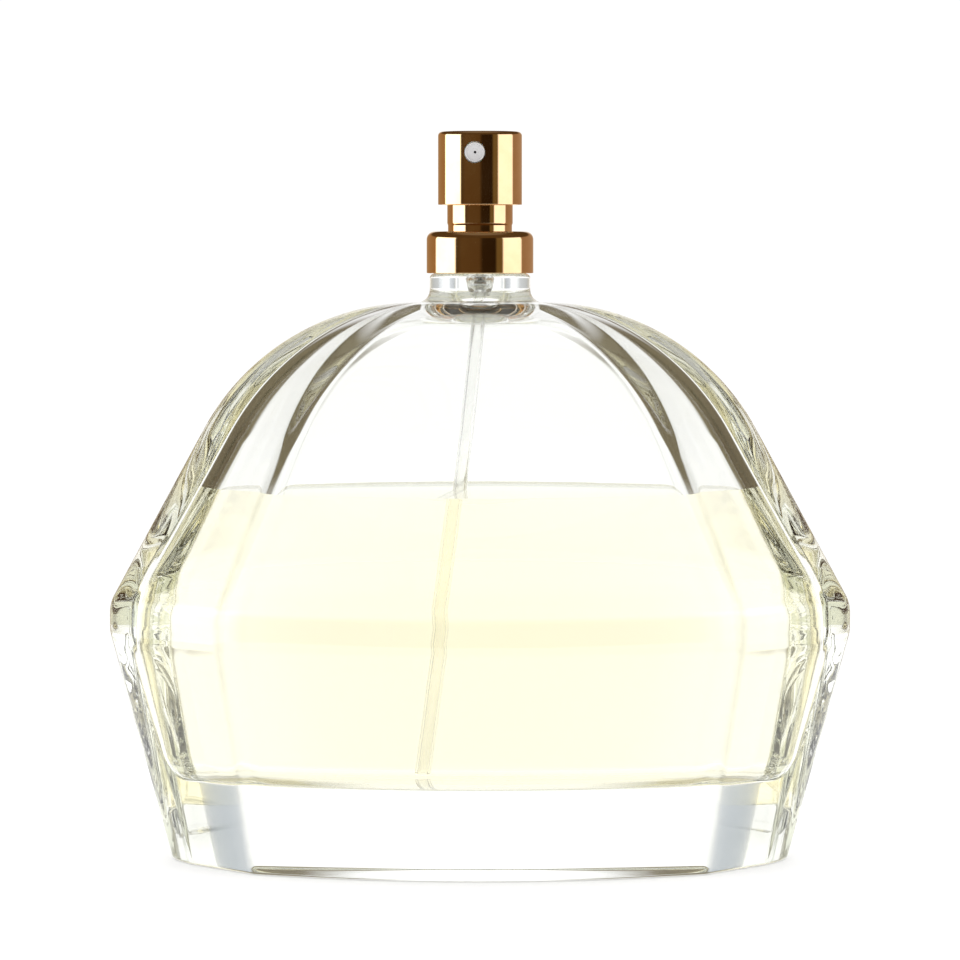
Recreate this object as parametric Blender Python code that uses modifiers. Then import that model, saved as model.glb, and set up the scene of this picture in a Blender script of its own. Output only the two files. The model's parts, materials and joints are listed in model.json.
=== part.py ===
"""A faceted glass perfume bottle with a crimped metal spray pump, as separate pieces.

Metres, +Z up. The origin is the centre of the bottle's base, the wide face looks along -Y,
and the pump stands on the Z axis. Every height below is measured from the base.
"""

import math

import bmesh
import bpy
from mathutils import Matrix, Vector

MM = 0.001

# The glass body, seen from the front: half widths and heights of its outline.
BASE_HALF_WIDTH = 49.4 * MM
WAIST_HALF_WIDTH = 59.35 * MM
WAIST_LOW = 36.6 * MM
WAIST_HIGH = 41.1 * MM
SHOULDER_HEIGHT = 89.3 * MM
SHOULDER_LEAN = math.radians(28.5)
DEPTH_TO_WIDTH = 0.58
BASE_ROUND = 0.5 * MM
WAIST_ROUND = 6.0 * MM
NECK_ROOT_ROUND = 2.0 * MM

# Where the plan's vertical ridges stand, as parts of the half width and the half depth.
OUTER_RIDGES_AT_BASE = ((0.928, 0.28), (0.722, 0.70))
OUTER_RIDGES_AT_WAIST = ((0.928, 0.28), (0.69, 0.70))
INNER_RIDGES = ((0.92, 0.28), (0.735, 0.66))
SIDE_BULGE = 1.4
SIDE_STEPS = 2
CHAMFER_STEPS = 2
FRONT_STEPS = 5

# The cavity inside the glass.
FLOOR_HEIGHT = 14.1 * MM
CEILING_HEIGHT = 85.2 * MM
CAVITY_BASE_HALF_WIDTH = 45.9 * MM
CAVITY_WAIST_HALF_WIDTH = 52.2 * MM
CAVITY_DEPTH_TO_WIDTH = 0.52
CAVITY_FLOOR_ROUND = 5.0 * MM
CAVITY_WAIST_ROUND = 16.0 * MM
CAVITY_NECK_ROUND = 2.5 * MM

# The glass neck and its crimp bead.
NECK_RADIUS = 8.05 * MM
NECK_TOP = 93.6 * MM
GROOVE_RADIUS = 6.4 * MM
BEAD_RADIUS = 7.5 * MM
BEAD_BOTTOM = 95.7 * MM
LIP_HEIGHT = 98.2 * MM
BEAD_ROUND = 0.6 * MM
GROOVE_ROUND = 0.35 * MM
GROOVE_SLOPE_TOP = 0.6 * MM
GROOVE_SLOPE_BOTTOM = 0.2 * MM
BORE_RADIUS = 3.8 * MM
FACETS_END_HALF_WIDTH = 24.0 * MM

# The perfume.
PERFUME_LEVEL = 58.0 * MM
PERFUME_GAP = 0.3 * MM

# The dip tube: its sizes, and how far it leans to -X and to the back for each metre down.
TUBE_RADIUS = 1.05 * MM
TUBE_BORE_RADIUS = 0.68 * MM
TUBE_TOP = 90.65 * MM
TUBE_BEND_HEIGHT = 89.0 * MM
TUBE_END = 15.2 * MM
TUBE_LEAN = 0.108
TUBE_LEAN_BACK = 0.2
TUBE_BEND_LENGTH = 2.0 * MM
TUBE_POINTS = 18

# Clearances between the pump's pieces.
RUNNING_GAP = 0.05 * MM
SEAT_GAP = 0.05 * MM

# The pump housing.
TAIL_BOTTOM = 88.8 * MM
TAIL_RADIUS = 1.65 * MM
TUBE_SOCKET_RADIUS = 1.1 * MM
TUBE_SOCKET_TOP = 90.7 * MM
SEAT_HOLE_RADIUS = 0.5 * MM
SEAT_BOTTOM = 91.1 * MM
SEAT_TOP = 92.0 * MM
BALL_CHAMBER_RADIUS = 1.2 * MM
BALL_CHAMBER_TOP = 93.15 * MM
BALL_RIB_RADIUS = 0.98 * MM
CYLINDER_FLOOR = 93.9 * MM
CYLINDER_RADIUS = 2.6 * MM
CYLINDER_OUTER_RADIUS = 3.3 * MM
FLANGE_BOTTOM = 99.05 * MM
FLANGE_TOP = 99.75 * MM
FLANGE_RADIUS = 7.1 * MM
TOWER_RADIUS = 4.7 * MM
TOWER_TOP = 104.9 * MM
COUNTERBORE_RADIUS = 3.6 * MM
COUNTERBORE_FLOOR = 103.9 * MM

# The ball, the moving pump pieces and their springs.
BALL_RADIUS = 1.05 * MM
BALL_HEIGHT = 92.23 * MM
STEM_RADIUS = 1.3 * MM
STEM_BORE_RADIUS = 0.45 * MM
STEM_BOTTOM = 100.45 * MM
STEM_TOP = 112.2 * MM
STEM_COLLAR_RADIUS = 2.2 * MM
STEM_COLLAR_BOTTOM = 103.45 * MM
STEM_COLLAR_TOP = 103.85 * MM
PORT_RADIUS = 0.3 * MM
PORT_HEIGHT = 101.0 * MM
POPPET_PIN_RADIUS = 1.35 * MM
POPPET_PIN_BOTTOM = 98.1 * MM
POPPET_HEAD_RADIUS = 2.1 * MM
POPPET_HEAD_BOTTOM = 99.75 * MM
POPPET_HEAD_TOP = 100.3 * MM
PISTON_BOTTOM = 100.4 * MM
PISTON_TOP = 101.9 * MM
PISTON_WAIST_RADIUS = 2.2 * MM
PISTON_LIP_HEIGHT = 0.35 * MM
COIL_MEAN_RADIUS = 1.78 * MM
RETURN_WIRE_RADIUS = 0.14 * MM
RETURN_TURNS = 4.5
LIGHT_WIRE_RADIUS = 0.11 * MM
LIGHT_TURNS = 3.0
POINTS_PER_TURN = 12

# The seals and the cap ring that holds the stem in.
NECK_GASKET_BORE_RADIUS = 3.95 * MM
NECK_GASKET_RADIUS = 7.0 * MM
NECK_GASKET_BOTTOM = 98.3 * MM
NECK_GASKET_TOP = 98.95 * MM
STEM_GASKET_BOTTOM = 103.95 * MM
STEM_GASKET_TOP = 104.3 * MM
CLOSURE_BOTTOM = 104.4 * MM
CLOSURE_STEP = 105.0 * MM
CLOSURE_TOP = 105.8 * MM
CLOSURE_GUIDE_RADIUS = 2.95 * MM
CLOSURE_BORE_RADIUS = 1.45 * MM
SEAL_RADIUS = 3.5 * MM

# The crimped ferrule, one thickness of sheet throughout.
SHEET = 0.38 * MM
TURRET_RADIUS = 5.25 * MM
TURRET_TOP = 105.5 * MM
TURRET_HOLE_RADIUS = 3.15 * MM
TURRET_ROUND = 0.5 * MM
TURRET_FOOT_RADIUS = 5.13 * MM
TURRET_FOOT_TOP = 101.9 * MM
FERRULE_RADIUS = 7.98 * MM
FERRULE_FLANGE_TOP = 100.17 * MM
FERRULE_BOTTOM = 94.9 * MM
FERRULE_ROUND = 0.9 * MM
CURL_RADIUS = 6.9 * MM
CURL_HEIGHT = 0.45 * MM

# The outer collar.
COLLAR_RADIUS = 8.55 * MM
COLLAR_WALL = 0.4 * MM
COLLAR_BOTTOM = 93.9 * MM
COLLAR_TOP = 100.6 * MM
COLLAR_HOLE_RADIUS = 5.45 * MM
COLLAR_ROUND = 1.3 * MM

# The actuator: a metal shell over a plastic insert, with the nozzle pressed into its side.
SHELL_RADIUS = 6.72 * MM
SHELL_WALL = 0.4 * MM
SHELL_BOTTOM = 104.8 * MM
SHELL_TOP = 116.5 * MM
SHELL_ROUND = 0.7 * MM
SHELL_NOZZLE_HOLE_RADIUS = 1.72 * MM
INSERT_RADIUS = 6.25 * MM
INSERT_SKIRT_RADIUS = 5.6 * MM
INSERT_BOTTOM = 105.2 * MM
INSERT_PLATE_BOTTOM = 114.9 * MM
INSERT_TOP = 116.0 * MM
INSERT_BOSS_RADIUS = 2.6 * MM
INSERT_BOSS_BOTTOM = 109.9 * MM
STEM_SOCKET_RADIUS = 1.35 * MM
STEM_SOCKET_TOP = 112.25 * MM
CHANNEL_RADIUS = 0.45 * MM
NOZZLE_BOSS_RADIUS = 2.2 * MM
NOZZLE_HEIGHT = 113.1 * MM
NOZZLE_TURN = math.radians(-7.5)
NOZZLE_RADIUS = 1.6 * MM
NOZZLE_LENGTH = 1.9 * MM
NOZZLE_FACE = 6.5 * MM
NOZZLE_SOCKET_FLOOR = 4.3 * MM
NOZZLE_SOCKET_RADIUS = 1.65 * MM
NOZZLE_DISH_RADIUS = 1.25 * MM
NOZZLE_DISH_DEPTH = 0.35 * MM
ORIFICE_RADIUS = 0.15 * MM
SWIRL_RADIUS = 0.5 * MM
SWIRL_DEPTH = 1.2 * MM

# How many flat sides stand for a circle.
BIG_ROUND = 32
SMALL_ROUND = 24

FINISHES = {
    "clear_glass": ((0.93, 0.96, 0.93), 0.02, 0.0),
    "perfume": ((0.98, 0.95, 0.74), 0.02, 0.0),
    "gold": ((0.78, 0.57, 0.30), 0.15, 1.0),
    "steel": ((0.62, 0.62, 0.63), 0.2, 1.0),
    "white_plastic": ((0.90, 0.90, 0.88), 0.4, 0.0),
    "clear_plastic": ((0.88, 0.88, 0.86), 0.25, 0.0),
    "grey_seal": ((0.45, 0.45, 0.44), 0.6, 0.0),
}


# ---------------------------------------------------------------- scene and materials

def clear_scene():
    for obj in list(bpy.data.objects):
        bpy.data.objects.remove(obj, do_unlink=True)


def new_collection(name):
    collection = bpy.data.collections.new(name)
    bpy.context.scene.collection.children.link(collection)
    return collection


def finish(name):
    """The material of this finish, made the first time that it is asked for."""
    if name in bpy.data.materials:
        return bpy.data.materials[name]
    color, roughness, metallic = FINISHES[name]
    material = bpy.data.materials.new(name)
    material.use_nodes = True
    shader = material.node_tree.nodes["Principled BSDF"]
    shader.inputs["Base Color"].default_value = (*color, 1.0)
    shader.inputs["Roughness"].default_value = roughness
    shader.inputs["Metallic"].default_value = metallic
    return material


def add_object(name, data, collection, material=None, parent=None):
    obj = bpy.data.objects.new(name, data)
    collection.objects.link(obj)
    if material:
        data.materials.clear()
        data.materials.append(finish(material))
    if parent:
        place_under(obj, parent)
    return obj


def place_under(obj, parent):
    """Parents the object and keeps it where it stands in the world."""
    obj.parent = parent
    obj.matrix_parent_inverse = Matrix.Translation(-parent.location)


def add_axis(name, height, collection):
    """An empty on the pump's axis, which the moving pieces hang from."""
    empty = bpy.data.objects.new(name, None)
    empty.location = (0.0, 0.0, height)
    empty.empty_display_size = 4.0 * MM
    collection.objects.link(empty)
    return empty


# ---------------------------------------------------------------- shapes

def rounded(corners, steps=5):
    """The outline through (across, height, radius) corners, each turned by an arc of that radius."""
    outline = []
    for i, (across, height, radius) in enumerate(corners):
        here = Vector((across, height))
        if radius == 0.0 or i in (0, len(corners) - 1):
            outline.append(here)
            continue
        before = (Vector(corners[i - 1][:2]) - here).normalized()
        after = (Vector(corners[i + 1][:2]) - here).normalized()
        half_angle = before.angle(after) / 2
        centre = here + (before + after).normalized() * radius / math.sin(half_angle)
        start = here + before * radius / math.tan(half_angle) - centre
        turn = start.angle_signed(here + after * radius / math.tan(half_angle) - centre)
        for step in range(steps + 1):
            outline.append(centre + Matrix.Rotation(-turn * step / steps, 2) @ start)
    return [(point.x, point.y) for point in outline]


def turned(name, profile, collection, material=None, parent=None, sides=BIG_ROUND):
    """A piece turned about Z. The profile of (radius, height) runs down its outer side.

    A profile that starts and ends on the axis is a solid piece. Any other one goes on up the
    bore and closes on itself.
    """
    mesh = bpy.data.meshes.new(name)
    count = len(profile)
    solid = profile[0][0] == 0.0 and profile[-1][0] == 0.0
    edges = [(i, (i + 1) % count) for i in range(count - 1 if solid else count)]
    mesh.from_pydata([(radius, 0.0, height) for radius, height in profile], edges, [])
    obj = add_object(name, mesh, collection, material, parent)
    screw = obj.modifiers.new("turn", "SCREW")
    screw.axis = "Z"
    screw.steps = sides
    screw.render_steps = sides
    screw.use_merge_vertices = True
    screw.merge_threshold = 0.001 * MM
    screw.use_smooth_shade = True
    return obj


def rod(name, radius, start, end, collection, sides=SMALL_ROUND):
    """A plain round bar between two points, for cutting or joining."""
    start, end = Vector(start), Vector(end)
    mesh = bpy.data.meshes.new(name)
    bar = bmesh.new()
    bmesh.ops.create_cone(
        bar, cap_ends=True, segments=sides, radius1=radius, radius2=radius, depth=(end - start).length
    )
    bar.to_mesh(mesh)
    bar.free()
    obj = add_object(name, mesh, collection)
    obj.location = (start + end) / 2
    obj.rotation_mode = "QUATERNION"
    obj.rotation_quaternion = (end - start).to_track_quat("Z", "Y")
    obj.hide_render = True
    obj.display_type = "WIRE"
    return obj


def boolean(obj, other, operation):
    modifier = obj.modifiers.new(operation.lower(), "BOOLEAN")
    modifier.operation = operation
    modifier.object = other
    modifier.solver = "EXACT"


def settle(obj):
    """Puts the modifiers' result into the mesh, and shades it smooth between its edges."""
    bpy.context.view_layer.update()
    graph = bpy.context.evaluated_depsgraph_get()
    mesh = bpy.data.meshes.new_from_object(obj.evaluated_get(graph))
    mesh.name = obj.name
    obj.modifiers.clear()
    obj.data = mesh
    mesh.shade_smooth()
    mesh.set_sharp_from_angle(angle=math.radians(35))


def wire(name, points, radius, collection, bevel_resolution=2):
    """A round wire or tube along the points, as a curve object with filled ends."""
    curve = bpy.data.curves.new(name, "CURVE")
    curve.dimensions = "3D"
    curve.bevel_depth = radius
    curve.bevel_resolution = bevel_resolution
    curve.use_fill_caps = True
    spline = curve.splines.new("POLY")
    spline.points.add(len(points) - 1)
    for point, place in zip(spline.points, points):
        point.co = (*place, 1.0)
    return add_object(name, curve, collection)


def wire_to_mesh(obj, material=None):
    """The same wire as a mesh object of the same name, with its end caps welded on."""
    bpy.context.view_layer.update()
    graph = bpy.context.evaluated_depsgraph_get()
    name, collection, place = obj.name, obj.users_collection[0], obj.matrix_world.copy()
    mesh = bpy.data.meshes.new_from_object(obj.evaluated_get(graph))
    bpy.data.objects.remove(obj, do_unlink=True)
    body = bmesh.new()
    body.from_mesh(mesh)
    bmesh.ops.remove_doubles(body, verts=body.verts, dist=0.001 * MM)
    bmesh.ops.recalc_face_normals(body, faces=body.faces)
    body.to_mesh(mesh)
    body.free()
    made = add_object(name, mesh, collection, material)
    made.matrix_world = place
    return made


# ---------------------------------------------------------------- the faceted body

def plan_outline(ridges):
    """The plan's outline in parts of the half width and half depth, anticlockwise from +X.

    Each quarter is a bulged side facet, a flat chamfer and half of the bulged front facet.
    """
    (side_x, side_y), (front_x, front_y) = ridges
    quarter = []
    for step in range(SIDE_STEPS):
        t = step / SIDE_STEPS
        quarter.append((1.0 - (1.0 - side_x) * t ** SIDE_BULGE, side_y * t))
    for step in range(CHAMFER_STEPS):
        t = step / CHAMFER_STEPS
        quarter.append((side_x + (front_x - side_x) * t, side_y + (front_y - side_y) * t))
    for step in range(FRONT_STEPS):
        t = 1.0 - step / FRONT_STEPS
        quarter.append((front_x * t, 1.0 - (1.0 - front_y) * t * t))
    half = quarter + [(0.0, 1.0)] + [(-x, y) for x, y in reversed(quarter[1:])]
    return half + [(-x, -y) for x, y in half]


def outer_outline(height):
    """The outside's plan at this height: its ridges move steadily from the base to the waist."""
    t = min(height / WAIST_LOW, 1.0)
    ridges = []
    for (base_x, base_y), (waist_x, waist_y) in zip(OUTER_RIDGES_AT_BASE, OUTER_RIDGES_AT_WAIST):
        ridges.append((base_x + (waist_x - base_x) * t, base_y + (waist_y - base_y) * t))
    return plan_outline(ridges)


def half_depth(half_width, ratio, neck_radius):
    """Half the depth where the body is this wide: a fixed ratio that grows to round at the neck."""
    return math.hypot(ratio * half_width, neck_radius * math.sqrt(1.0 - ratio * ratio))


def roundness(half_width, faceted_from, round_from):
    """0 where the section is fully faceted, 1 where it is a circle, smooth in between."""
    t = (faceted_from - half_width) / (faceted_from - round_from)
    t = min(max(t, 0.0), 1.0)
    return t * t * (3.0 - 2.0 * t)


def section(half_width, height, outline, ratio, neck_radius, round_share):
    """One level of the body: the faceted plan mixed with an ellipse, which is a circle on the neck."""
    depth = half_depth(half_width, ratio, neck_radius) if round_share < 1.0 else half_width
    ring = []
    for x, y in outline:
        swell = 1.0 - round_share + round_share / math.hypot(x, y)
        ring.append((x * swell * half_width, y * swell * depth, height))
    return ring


def outer_levels():
    """(half width, height) of the outside, from the base up to the root of the neck."""
    top_half_width = WAIST_HALF_WIDTH - math.tan(SHOULDER_LEAN) * (SHOULDER_HEIGHT - WAIST_HIGH)
    neck_side = NECK_RADIUS + NECK_ROOT_ROUND
    quarter_turn = math.pi / 2
    shoulder_round = (top_half_width - neck_side) / math.tan((quarter_turn - SHOULDER_LEAN) / 2)
    shoulder_round *= 0.999
    flank = rounded([
        (0.0, 0.0, 0.0),
        (BASE_HALF_WIDTH, 0.0, BASE_ROUND),
        (WAIST_HALF_WIDTH, WAIST_LOW, WAIST_ROUND),
        (WAIST_HALF_WIDTH, WAIST_HIGH, WAIST_ROUND),
        (top_half_width, (WAIST_HIGH + SHOULDER_HEIGHT) / 2, 0.0),
    ], steps=3)[1:-1]
    shoulder = rounded([
        (WAIST_HALF_WIDTH, WAIST_HIGH, 0.0),
        (top_half_width, SHOULDER_HEIGHT, shoulder_round),
        (neck_side, SHOULDER_HEIGHT, 0.0),
    ], steps=10)[1:-1]
    root = rounded([
        (neck_side, SHOULDER_HEIGHT, 0.0),
        (NECK_RADIUS, SHOULDER_HEIGHT, NECK_ROOT_ROUND),
        (NECK_RADIUS, NECK_TOP, 0.0),
    ], steps=4)[2:-1]
    return flank + shoulder + root


def cavity_levels(gap=0.0):
    """(half width, height) of the cavity from its floor up to the bore, drawn in by the gap."""
    lean = math.tan(SHOULDER_LEAN)
    waist = (WAIST_LOW + WAIST_HIGH) / 2
    top_half_width = CAVITY_WAIST_HALF_WIDTH - lean * (CEILING_HEIGHT - waist)
    bore_side = BORE_RADIUS + CAVITY_NECK_ROUND
    quarter_turn = math.pi / 2
    ceiling_round = (top_half_width - bore_side) / math.tan((quarter_turn - SHOULDER_LEAN) / 2)
    ceiling_round *= 0.999
    flank = rounded([
        (0.0, FLOOR_HEIGHT + gap, 0.0),
        (CAVITY_BASE_HALF_WIDTH - gap, FLOOR_HEIGHT + gap, CAVITY_FLOOR_ROUND),
        (CAVITY_WAIST_HALF_WIDTH - gap, waist, CAVITY_WAIST_ROUND),
        (top_half_width - gap, CEILING_HEIGHT, 0.0),
    ], steps=4)[1:-1]
    ceiling = rounded([
        (CAVITY_WAIST_HALF_WIDTH, waist, 0.0),
        (top_half_width, CEILING_HEIGHT, ceiling_round),
        (bore_side, CEILING_HEIGHT, 0.0),
    ], steps=8)[1:-1]
    root = rounded([
        (bore_side, CEILING_HEIGHT, 0.0),
        (BORE_RADIUS, CEILING_HEIGHT, CAVITY_NECK_ROUND),
        (BORE_RADIUS, LIP_HEIGHT, 0.0),
    ], steps=3)[2:-1]
    return flank, ceiling, root


def skin(name, rings, collection, material):
    """A closed body lofted through rings of equal count, with a flat face on both end rings."""
    body = bmesh.new()
    rows = [[body.verts.new(place) for place in ring] for ring in rings]
    count = len(rows[0])
    for lower, upper in zip(rows, rows[1:]):
        for i in range(count):
            j = (i + 1) % count
            body.faces.new((lower[i], lower[j], upper[j], upper[i]))
    body.faces.new(list(reversed(rows[0])))
    body.faces.new(rows[-1])
    bmesh.ops.recalc_face_normals(body, faces=body.faces)
    mesh = bpy.data.meshes.new(name)
    body.to_mesh(mesh)
    body.free()
    mesh.shade_smooth()
    mesh.set_sharp_from_angle(angle=math.radians(12))
    return add_object(name, mesh, collection, material)


def glass_bottle(collection):
    """The thick-walled body: up the outside, over the crimp bead and down the cavity."""
    round_from = NECK_RADIUS + NECK_ROOT_ROUND
    rings = []
    for width, height in outer_levels():
        outline = outer_outline(height)
        share = roundness(width, FACETS_END_HALF_WIDTH, round_from)
        rings.append(section(width, height, outline, DEPTH_TO_WIDTH, NECK_RADIUS, share))
    neck = rounded([
        (NECK_RADIUS, SHOULDER_HEIGHT, 0.0),
        (NECK_RADIUS, NECK_TOP, BEAD_ROUND),
        (GROOVE_RADIUS, NECK_TOP + GROOVE_SLOPE_TOP, GROOVE_ROUND),
        (GROOVE_RADIUS, BEAD_BOTTOM - GROOVE_SLOPE_BOTTOM, GROOVE_ROUND),
        (BEAD_RADIUS, BEAD_BOTTOM, GROOVE_ROUND),
        (BEAD_RADIUS, LIP_HEIGHT, BEAD_ROUND),
        (BORE_RADIUS, LIP_HEIGHT, BEAD_ROUND),
        (BORE_RADIUS, NECK_TOP, 0.0),
    ], steps=2)[1:]
    for radius, height in neck:
        rings.append(section(radius, height, outline, DEPTH_TO_WIDTH, NECK_RADIUS, 1.0))
    outline = plan_outline(INNER_RIDGES)
    flank, ceiling, root = cavity_levels()
    for width, height in reversed(flank + ceiling + root):
        share = roundness(width, 0.6 * FACETS_END_HALF_WIDTH, BORE_RADIUS + CAVITY_NECK_ROUND)
        rings.append(section(width, height, outline, CAVITY_DEPTH_TO_WIDTH, BORE_RADIUS, share))
    return skin("glass_bottle", rings, collection, "clear_glass")


def perfume_liquid(collection, tube_cutter):
    """The perfume up to its level, with a channel where the dip tube stands in it."""
    outline = plan_outline(INNER_RIDGES)
    flank, _, _ = cavity_levels(PERFUME_GAP)
    levels = [(width, height) for width, height in flank if height < PERFUME_LEVEL]
    waist = (WAIST_LOW + WAIST_HIGH) / 2
    top_width = CAVITY_WAIST_HALF_WIDTH - math.tan(SHOULDER_LEAN) * (PERFUME_LEVEL - waist)
    levels.append((top_width - PERFUME_GAP, PERFUME_LEVEL))
    rings = []
    for width, height in levels:
        ring = section(width, height, outline, CAVITY_DEPTH_TO_WIDTH, BORE_RADIUS, 0.0)
        depth = half_depth(width, CAVITY_DEPTH_TO_WIDTH, BORE_RADIUS)
        inset = 1.0 - 0.5 * PERFUME_GAP / depth
        rings.append([(x, y * inset, z) for x, y, z in ring])
    liquid = skin("perfume_liquid", rings, collection, "perfume")
    boolean(liquid, tube_cutter, "DIFFERENCE")
    settle(liquid)
    return liquid


# ---------------------------------------------------------------- the dip tube

def tube_route(top, end):
    """Points down the tube: straight out of its socket, then a soft bend into a steady lean."""
    points = []
    for i in range(TUBE_POINTS):
        t = i / (TUBE_POINTS - 1)
        height = top + (end - top) * t * t if i < 5 else top + (end - top) * t
        points.append(height)
    points = sorted(set(points), reverse=True)
    return [tube_point(height) for height in points]


def tube_point(height):
    """The tube's middle at this height: its shift is a hyperbola that starts upright."""
    down = max(TUBE_BEND_HEIGHT - height, 0.0)
    shift = math.hypot(down, TUBE_BEND_LENGTH) - TUBE_BEND_LENGTH
    return (-TUBE_LEAN * shift, TUBE_LEAN_BACK * shift, height)


def dip_tube(collection, cutters):
    overshoot = 1.0 * MM
    tube = wire("dip_tube", tube_route(TUBE_TOP, TUBE_END), TUBE_RADIUS, collection)
    tube = wire_to_mesh(tube, "clear_plastic")
    bore = wire("tube_bore", tube_route(TUBE_TOP + overshoot, TUBE_END - overshoot),
                TUBE_BORE_RADIUS, cutters)
    bore = wire_to_mesh(bore)
    bore.hide_render = True
    bore.display_type = "WIRE"
    boolean(tube, bore, "DIFFERENCE")
    settle(tube)
    return tube


def tube_channel(cutters):
    """The cutter for the perfume: the tube's route with a clearance all round."""
    overshoot = 3.0 * MM
    channel = wire("tube_channel", tube_route(TUBE_TOP, TUBE_END - overshoot),
                   TUBE_RADIUS + PERFUME_GAP, cutters)
    channel = wire_to_mesh(channel)
    channel.hide_render = True
    channel.display_type = "WIRE"
    return channel


# ---------------------------------------------------------------- the pump

def pump_housing(collection):
    """The dosing chamber: a flange on the neck, a cylinder into the bore, a ball seat, a tail."""
    cone_bottom = 90.4 * MM
    cone_top = 93.8 * MM
    cone_radius = 2.5 * MM
    tower_round = 0.4 * MM
    profile = [
        (COUNTERBORE_RADIUS, TOWER_TOP),
        (TOWER_RADIUS - tower_round, TOWER_TOP),
        (TOWER_RADIUS, TOWER_TOP - tower_round),
        (TOWER_RADIUS, FLANGE_TOP),
        (FLANGE_RADIUS, FLANGE_TOP),
        (FLANGE_RADIUS, FLANGE_BOTTOM),
        (CYLINDER_OUTER_RADIUS, FLANGE_BOTTOM),
        (CYLINDER_OUTER_RADIUS, CYLINDER_FLOOR + 0.6 * MM),
        (cone_radius, cone_top),
        (TAIL_RADIUS + 0.1 * MM, cone_bottom),
        (TAIL_RADIUS, cone_bottom),
        (TAIL_RADIUS, TAIL_BOTTOM),
        (TUBE_SOCKET_RADIUS, TAIL_BOTTOM),
        (TUBE_SOCKET_RADIUS, TUBE_SOCKET_TOP),
        (SEAT_HOLE_RADIUS, TUBE_SOCKET_TOP),
        (SEAT_HOLE_RADIUS, SEAT_BOTTOM),
        (BALL_CHAMBER_RADIUS, SEAT_TOP),
        (BALL_CHAMBER_RADIUS, BALL_CHAMBER_TOP),
        (BALL_RIB_RADIUS, BALL_CHAMBER_TOP),
        (BALL_RIB_RADIUS, CYLINDER_FLOOR),
        (CYLINDER_RADIUS, CYLINDER_FLOOR),
        (CYLINDER_RADIUS, COUNTERBORE_FLOOR),
        (COUNTERBORE_RADIUS, COUNTERBORE_FLOOR),
    ]
    housing = turned("pump_housing", profile, collection, "clear_plastic", sides=BIG_ROUND)
    settle(housing)


def check_ball(collection, parent):
    mesh = bpy.data.meshes.new("check_ball")
    ball = bmesh.new()
    bmesh.ops.create_uvsphere(ball, u_segments=SMALL_ROUND, v_segments=12, radius=BALL_RADIUS)
    ball.to_mesh(mesh)
    ball.free()
    mesh.shade_smooth()
    obj = add_object("check_ball", mesh, collection, "steel", parent)
    obj.location = (0.0, 0.0, BALL_HEIGHT)


def coil_spring(name, bottom, top, wire_radius, turns, collection, parent=None):
    """A compression spring whose wire runs up between two heights, its ends a little closed."""
    points = []
    count = int(turns * POINTS_PER_TURN)
    rise = top - bottom - 2 * wire_radius
    for i in range(count + 1):
        t = i / count
        angle = math.tau * turns * t
        height = bottom + wire_radius + rise * (t - math.sin(math.tau * t) / (3.0 * math.tau))
        points.append((COIL_MEAN_RADIUS * math.cos(angle), COIL_MEAN_RADIUS * math.sin(angle), height))
    coil = wire(name, points, wire_radius, collection)
    coil = wire_to_mesh(coil, "steel")
    coil.data.shade_smooth()
    if parent:
        place_under(coil, parent)


def poppet(collection, parent):
    """The valve head under the piston, with the pin that centres the return spring."""
    pin_chamfer = 0.3 * MM
    turned("poppet", [
        (0.0, POPPET_HEAD_TOP),
        (POPPET_HEAD_RADIUS, POPPET_HEAD_TOP),
        (POPPET_HEAD_RADIUS, POPPET_HEAD_BOTTOM),
        (POPPET_PIN_RADIUS, POPPET_HEAD_BOTTOM),
        (POPPET_PIN_RADIUS, POPPET_PIN_BOTTOM + pin_chamfer),
        (POPPET_PIN_RADIUS - pin_chamfer, POPPET_PIN_BOTTOM),
        (0.0, POPPET_PIN_BOTTOM),
    ], collection, "white_plastic", parent, SMALL_ROUND)


def piston(collection, parent):
    """A sleeve on the stem with a sealing lip at both ends."""
    lip_radius = CYLINDER_RADIUS - RUNNING_GAP
    bore_radius = STEM_RADIUS + RUNNING_GAP
    turned("piston", [
        (bore_radius, PISTON_TOP),
        (lip_radius, PISTON_TOP),
        (lip_radius, PISTON_TOP - PISTON_LIP_HEIGHT),
        (PISTON_WAIST_RADIUS, PISTON_TOP - 1.5 * PISTON_LIP_HEIGHT),
        (PISTON_WAIST_RADIUS, PISTON_BOTTOM + 1.5 * PISTON_LIP_HEIGHT),
        (lip_radius, PISTON_BOTTOM + PISTON_LIP_HEIGHT),
        (lip_radius, PISTON_BOTTOM),
        (bore_radius, PISTON_BOTTOM),
    ], collection, "white_plastic", parent, SMALL_ROUND)


def stem(collection, cutters, parent):
    """The hollow stem, with a stop collar below the gasket and a cross port behind the piston."""
    tube = turned("stem", [
        (STEM_BORE_RADIUS, STEM_TOP),
        (STEM_RADIUS - 0.2 * MM, STEM_TOP),
        (STEM_RADIUS, STEM_TOP - 0.4 * MM),
        (STEM_RADIUS, STEM_COLLAR_TOP),
        (STEM_COLLAR_RADIUS, STEM_COLLAR_TOP),
        (STEM_COLLAR_RADIUS, STEM_COLLAR_BOTTOM),
        (STEM_RADIUS, STEM_COLLAR_BOTTOM),
        (STEM_RADIUS, STEM_BOTTOM),
        (STEM_BORE_RADIUS, STEM_BOTTOM),
    ], collection, "white_plastic", parent, SMALL_ROUND)
    reach = 2.0 * STEM_RADIUS
    port = rod("stem_port", PORT_RADIUS, (-reach, 0.0, PORT_HEIGHT), (reach, 0.0, PORT_HEIGHT), cutters, 12)
    boolean(tube, port, "DIFFERENCE")
    settle(tube)


def ring(name, inner, outer, bottom, top, collection, material):
    """A flat washer."""
    turned(name, [(inner, top), (outer, top), (outer, bottom), (inner, bottom)],
           collection, material, None, BIG_ROUND)


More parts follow.
